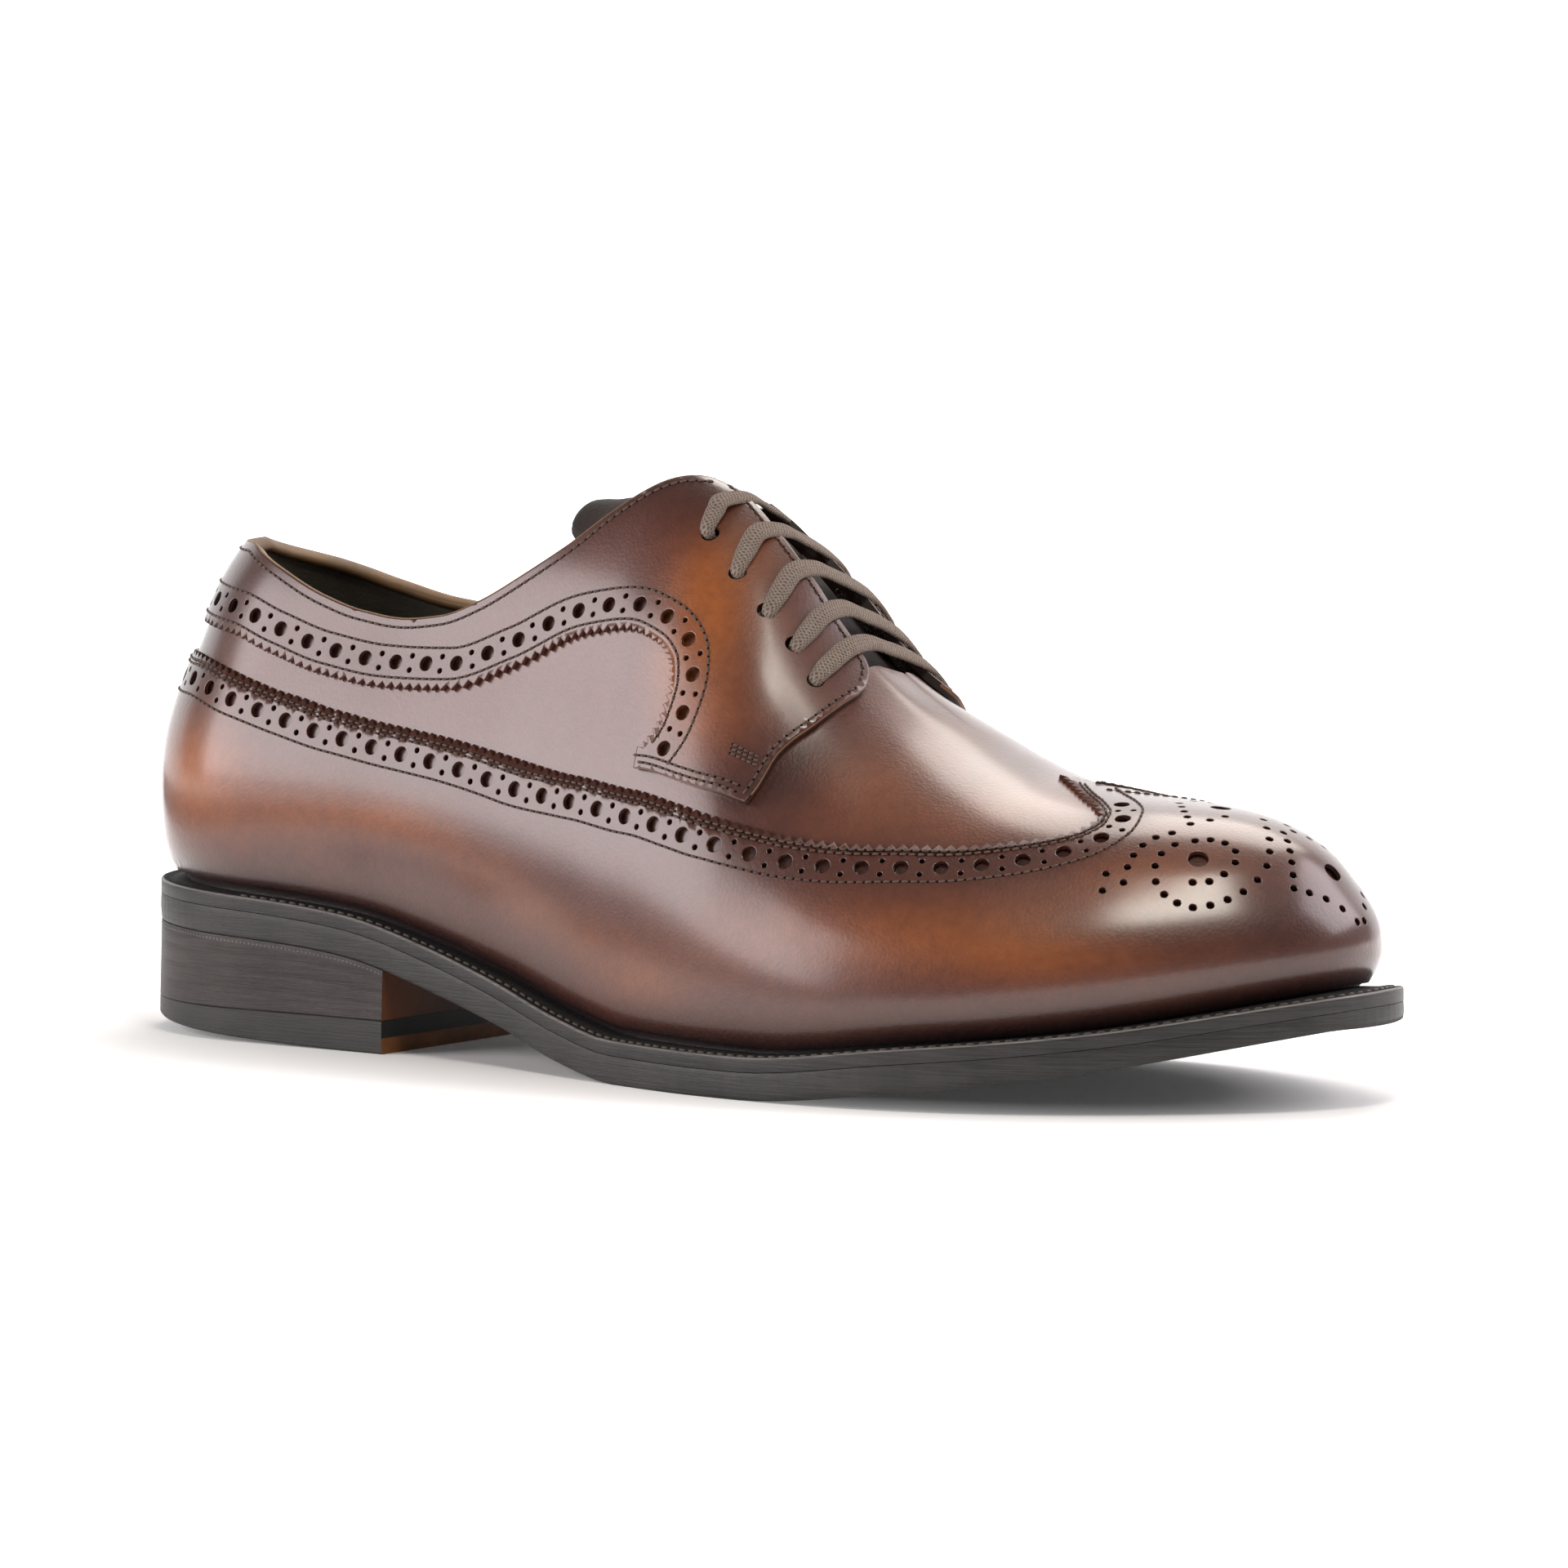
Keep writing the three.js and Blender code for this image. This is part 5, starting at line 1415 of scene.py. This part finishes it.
def heel_block(name, levels, looks):
    """A heel layer: the outline at each level, as share of height and draw in."""
    rings = []
    for height, draw_in in levels:
        plan = heel_ring(draw_in)
        z = height(plan[:, 0]) if callable(height) else np.full(len(plan), height)
        rings.append(np.concatenate([plan, z[:, None]], 1))
    rings = np.array(rings)
    levels_count, size = rings.shape[:2]
    points = rings.reshape(-1, 3)
    faces, face_looks = [], []
    for i in range(levels_count - 1):
        for j in range(size - 1):
            faces.append((i * size + j, i * size + j + 1, (i + 1) * size + j + 1, (i + 1) * size + j))
            face_looks.append(0)
        faces.append((i * size + size - 1, i * size, (i + 1) * size, (i + 1) * size + size - 1))
        face_looks.append(1 if len(looks) > 1 else 0)
    half = size // 2
    for level in (0, levels_count - 1):
        for k in range(half):
            a, b = level * size + k, level * size + k + 1
            c, d = level * size + size - 2 - k, level * size + size - 1 - k
            loop = [v for n, v in enumerate([a, b, c, d]) if v not in [a, b, c, d][:n]]
            if len(loop) > 2:
                faces.append(tuple(loop))
                face_looks.append(0)
    piece = make_piece(name, points, faces, looks, face_looks)
    outward(piece)
    bpy.ops.object.select_all(action="DESELECT")
    bpy.context.view_layer.objects.active = piece
    piece.select_set(True)
    bpy.ops.object.shade_smooth_by_angle(angle=math.radians(35))
    return piece


heel_ink = edge_ink("heel_inked_edge", (0.007, 0.005, 0.005), (0.044, 0.033, 0.031), 0.6, 0.42)
breast_look = Nodes("heel_breast", Specular_IOR_Level=0.35, Roughness=0.55)
breast_place = breast_look.add("TexCoord").outputs["Object"]
breast_split = breast_look.add("SeparateXYZ", Vector=breast_place)
breast_cloud = breast_look.add("TexNoise", Vector=breast_place, Scale=70.0, Detail=5.0).outputs[0]
breast_mix = breast_look.mix(breast_cloud, (0.05, 0.014, 0.006), (0.24, 0.07, 0.014))
# painted shade: the breast darkens from its outer corner towards the inner one
breast_side_shade = breast_look.ramp(breast_look.math("MULTIPLY", breast_split.outputs[1], -22.0), (0.15, 0.0), (0.75, 1.0))
breast_mix = breast_look.mix(breast_side_shade, (0.04, 0.011, 0.006), breast_mix)
breast_look.feed("Base Color", breast_mix)


def stack_top(x):
    return under_height(x) - 0.03


lift_levels = [(stack_top, 0.14), (lambda x: stack_top(x) - 0.08, 0.1)]
for place in (0.24, 0.47, 0.72):
    lift_levels += [(lambda x, p=place: TOP_PIECE + (stack_top(x) - TOP_PIECE) * (1 - p) + 0.14, 0.1 + HEEL_TAPER * place * 0.6),
                    (lambda x, p=place: TOP_PIECE + (stack_top(x) - TOP_PIECE) * (1 - p), 0.13 + HEEL_TAPER * place * 0.6),
                    (lambda x, p=place: TOP_PIECE + (stack_top(x) - TOP_PIECE) * (1 - p) - 0.14, 0.1 + HEEL_TAPER * place * 0.6)]
lift_levels += [(TOP_PIECE + 0.25, 0.1 + HEEL_TAPER * 0.6), (TOP_PIECE + 0.06, 0.25 + HEEL_TAPER * 0.6)]
heel_stack = heel_block("heel_stack", lift_levels, [heel_ink, breast_look.look])
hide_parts("heel_lift")
# a wheel pressed a row of fine dots into the heel just under the sole
WHEEL_STEP = 1.1
wheel_plan = heel_ring(0.02)
wheel_line = np.concatenate([wheel_plan, (stack_top(wheel_plan[:, 0]) - 0.9)[:, None]], 1)
wheel_run = np.concatenate([[0], np.cumsum(np.linalg.norm(np.diff(wheel_line, axis=0), axis=1))])
wheel_at = np.arange(1.0, wheel_run[-1] - 1.0, WHEEL_STEP)
wheel_points, wheel_faces = [], []
for number, at in enumerate(wheel_at):
    middle = np.array([np.interp(at, wheel_run, wheel_line[:, k]) for k in range(3)])
    ahead = unit(np.array([np.interp(at + 0.5, wheel_run, wheel_line[:, k]) for k in range(3)]) - middle)
    out = unit(np.array([ahead[1], -ahead[0], 0.0]))
    out = out if np.dot(out, middle - np.array([12.0, 0.0, 20.0])) > 0 else -out
    up = np.cross(out, ahead)
    corners = [(-0.26, -0.3), (0.26, -0.3), (0.26, 0.3), (-0.26, 0.3)]
    base = [middle - out * 0.35 + ahead * a + up * b for a, b in corners]
    top = [middle - out * 0.02 + ahead * a * 0.5 + up * b * 0.5 for a, b in corners]
    wheel_points.append(np.array(base + top))
    n = 8 * number
    wheel_faces += [(n, n + 1, n + 2, n + 3), (n + 4, n + 5, n + 6, n + 7)]
    wheel_faces += [(n + k, n + (k + 1) % 4, n + 4 + (k + 1) % 4, n + 4 + k) for k in range(4)]
wheel_light = edge_ink("wheeled_edge", (0.10, 0.09, 0.08), (0.2, 0.18, 0.16), 0.3, 0.35)
wheel_marks = make_piece("wheel_marks", np.concatenate(wheel_points), wheel_faces, [wheel_light])
outward(wheel_marks)

top_rubber = edge_ink("top_piece_rubber", (0.007, 0.006, 0.006), (0.030, 0.028, 0.027), 0.3, 0.42)
layer_look = Nodes("top_piece_front", Specular_IOR_Level=0.35, Roughness=0.55)
layer_place = layer_look.add("TexCoord").outputs["Object"]
layer_split = layer_look.add("SeparateXYZ", Vector=layer_place)
layer_cloud = layer_look.add("TexNoise", Vector=layer_place, Scale=160.0, Detail=4.0).outputs[0]
layer_brown = layer_look.mix(layer_cloud, (0.09, 0.028, 0.008), (0.34, 0.12, 0.022))
layer_share = layer_look.ramp(layer_look.math("MULTIPLY", layer_split.outputs[2], 100.0), (0.31, 1.0), (0.35, 0.0))
layer_look.feed("Base Color", layer_look.mix(layer_share, (0.008, 0.007, 0.007), layer_brown))
top_levels = [(TOP_PIECE, 0.28 + HEEL_TAPER * 0.6), (TOP_PIECE - 0.2, 0.1 + HEEL_TAPER * 0.6),
              (3.6, 0.05 + HEEL_TAPER * 0.6), (lambda x: 0.4 + BACK_RISE * ((HEEL_BREAST - x) / 74) ** 2, 0.1 + HEEL_TAPER * 0.6),
              (lambda x: BACK_RISE * ((HEEL_BREAST - x) / 74) ** 2, 0.45 + HEEL_TAPER * 0.6)]
top_piece = heel_block("top_piece", top_levels, [top_rubber, layer_look.look])
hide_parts("heel_top_piece")

# Camera, light and floor
# A pale studio sweep and soft boxes. The camera keeps the photo's angle and
# frames the one shoe.
AZIMUTH, ELEVATION = math.radians(35), math.radians(5)
CAMERA_DISTANCE = 1.8
SHOWN_LENGTH_LENS = 200.9
TARGET = Vector((0.115, 0.0, 0.055))
back = Vector((math.sin(AZIMUTH) * math.cos(ELEVATION), -math.cos(AZIMUTH) * math.cos(ELEVATION), math.sin(ELEVATION)))
camera_data = bpy.data.cameras.new("camera")
camera_data.sensor_width = 36
camera_data.lens = SHOWN_LENGTH_LENS
camera_data.shift_x = 0.0196
camera_data.shift_y = 0.0067
camera = bpy.data.objects.new("camera", camera_data)
camera.location = TARGET + back * CAMERA_DISTANCE
camera.rotation_euler = (-back).to_track_quat("-Z", "Y").to_euler()
bpy.context.scene.collection.objects.link(camera)
bpy.context.scene.camera = camera

for name, place, size, power, shade in (
    ("left_box", (-1.06, -1.12, 0.56), (1.18, 1.0), 21.5, (1.0, 0.93, 0.94)),
    ("facing_box", (0.60, -0.40, 1.5), (0.14, 0.12), 0.8, (1.0, 0.96, 0.86)),
    ("low_box", (0.375, -0.225, 0.54), (0.19, 0.11), 1.2, (1.0, 0.96, 0.86)),
    ("rear_box", (-0.08, 0.95, 1.42), (0.9, 0.85), 14, (1.0, 0.93, 0.86)),
    ("toe_box", (1.05, 0.78, 0.90), (1.1, 0.9), 14, (1.0, 0.93, 0.97)),
):
    light = bpy.data.lights.new(name, "AREA")
    light.shape = "RECTANGLE"
    light.size, light.size_y = size
    light.energy = power
    light.color = shade
    lamp = bpy.data.objects.new(name, light)
    lamp.location = place
    lamp.rotation_euler = (Vector(place) - Vector((0.12, 0, 0.05))).to_track_quat("Z", "Y").to_euler()
    bpy.context.scene.collection.objects.link(lamp)

# a black flag on the left, out of the picture: its reflection draws the dark line along the side
flag_foot = Vector((0.115, 0.0, 0.0)) - Vector((math.cos(AZIMUTH), math.sin(AZIMUTH), 0)) * 0.31
flag_way = Vector((-math.sin(AZIMUTH), math.cos(AZIMUTH), 0))
flag_near = Vector((math.cos(AZIMUTH), math.sin(AZIMUTH), 0)) * 0.135
flag_mesh = bpy.data.meshes.new("flag")
flag_mesh.from_pydata([tuple(flag_foot + flag_way * far + Vector((0, 0, high)))
                       for far, high in ((-0.6, 0.001), (0.5, 0.001), (0.5, 0.034), (-0.6, 0.034))]
                      + [tuple(flag_foot + flag_way * far + flag_near + Vector((0, 0, high)))
                         for far, high in ((-0.2, 0.001), (-0.003, 0.001), (-0.003, 0.015), (-0.2, 0.015))],
                      [], [(0, 1, 2, 3), (4, 5, 6, 7)])
flag_mesh.materials.append(Nodes("black_flag", Base_Color=(0.02, 0.02, 0.02, 1), Roughness=0.9).look)
flag = bpy.data.objects.new("flag", flag_mesh)
bpy.context.scene.collection.objects.link(flag)
flag.visible_camera = False
flag.visible_shadow = False
flag.visible_diffuse = False

world = bpy.data.worlds.new("studio")
world.use_nodes = True
world.node_tree.nodes["Background"].inputs["Color"].default_value = (1, 1, 1, 1)
world.node_tree.nodes["Background"].inputs["Strength"].default_value = 0.10
bpy.context.scene.world = world

# the sweep runs away from the camera, flat and then up
SWEEP_WIDE, SWEEP_NEAR, SWEEP_FAR, SWEEP_BEND, SWEEP_HIGH = 5.0, -3.0, 2.4, 1.2, 3.0
away = Vector((-math.sin(AZIMUTH), math.cos(AZIMUTH), 0))
across = Vector((math.cos(AZIMUTH), math.sin(AZIMUTH), 0))
profile = [(SWEEP_NEAR, 0.0), (-1.0, 0.0), (-0.4, 0.0), (0.4, 0.0), (1.2, 0.0), (SWEEP_FAR, 0.0)]
profile += [(SWEEP_FAR + SWEEP_BEND * math.sin(a), SWEEP_BEND * (1 - math.cos(a)))
            for a in np.linspace(0.1, math.pi / 2, 12)]
profile += [(SWEEP_FAR + SWEEP_BEND, SWEEP_HIGH)]
sweep_points = [tuple(away * far + across * wide + Vector((0, 0, high)))
                for far, high in profile for wide in (-SWEEP_WIDE, SWEEP_WIDE)]
sweep_mesh = bpy.data.meshes.new("floor")
sweep_mesh.from_pydata(sweep_points, [], [(2 * k, 2 * k + 1, 2 * k + 3, 2 * k + 2) for k in range(len(profile) - 1)])
sweep_mesh.polygons.foreach_set("use_smooth", [True] * len(sweep_mesh.polygons))
floor = bpy.data.objects.new("floor", sweep_mesh)
bpy.context.scene.collection.objects.link(floor)
paper = Nodes("pale_floor", Base_Color=(0.9, 0.9, 0.9, 1), Roughness=0.75, Specular_IOR_Level=0.2)
# painted light: the floor glows by its emission, dim under and round the shoe, which darkens it there like a painted
# shadow, and rising to white further out
footprint = paper.add("Mapping", Vector=paper.add("TexCoord").outputs["Object"])
footprint.inputs["Location"].default_value = (-0.115 / 0.16, 0, 0)
footprint.inputs["Scale"].default_value = (1 / 0.16, 1 / 0.06, 0)
reach_out = paper.add("VectorMath", {"operation": "LENGTH"}, i0=footprint.outputs[0]).outputs["Value"]
glow = paper.ramp(paper.math("MULTIPLY", reach_out, 0.1), (0.07, 0.04), (0.14, 0.42), (0.8, 1.0))
paper.shader.inputs["Emission Color"].default_value = (1, 1, 1, 1)
paper.feed("Emission Strength", glow)
sweep_mesh.materials.append(paper.look)
bpy.context.scene.view_settings.view_transform = "Standard"
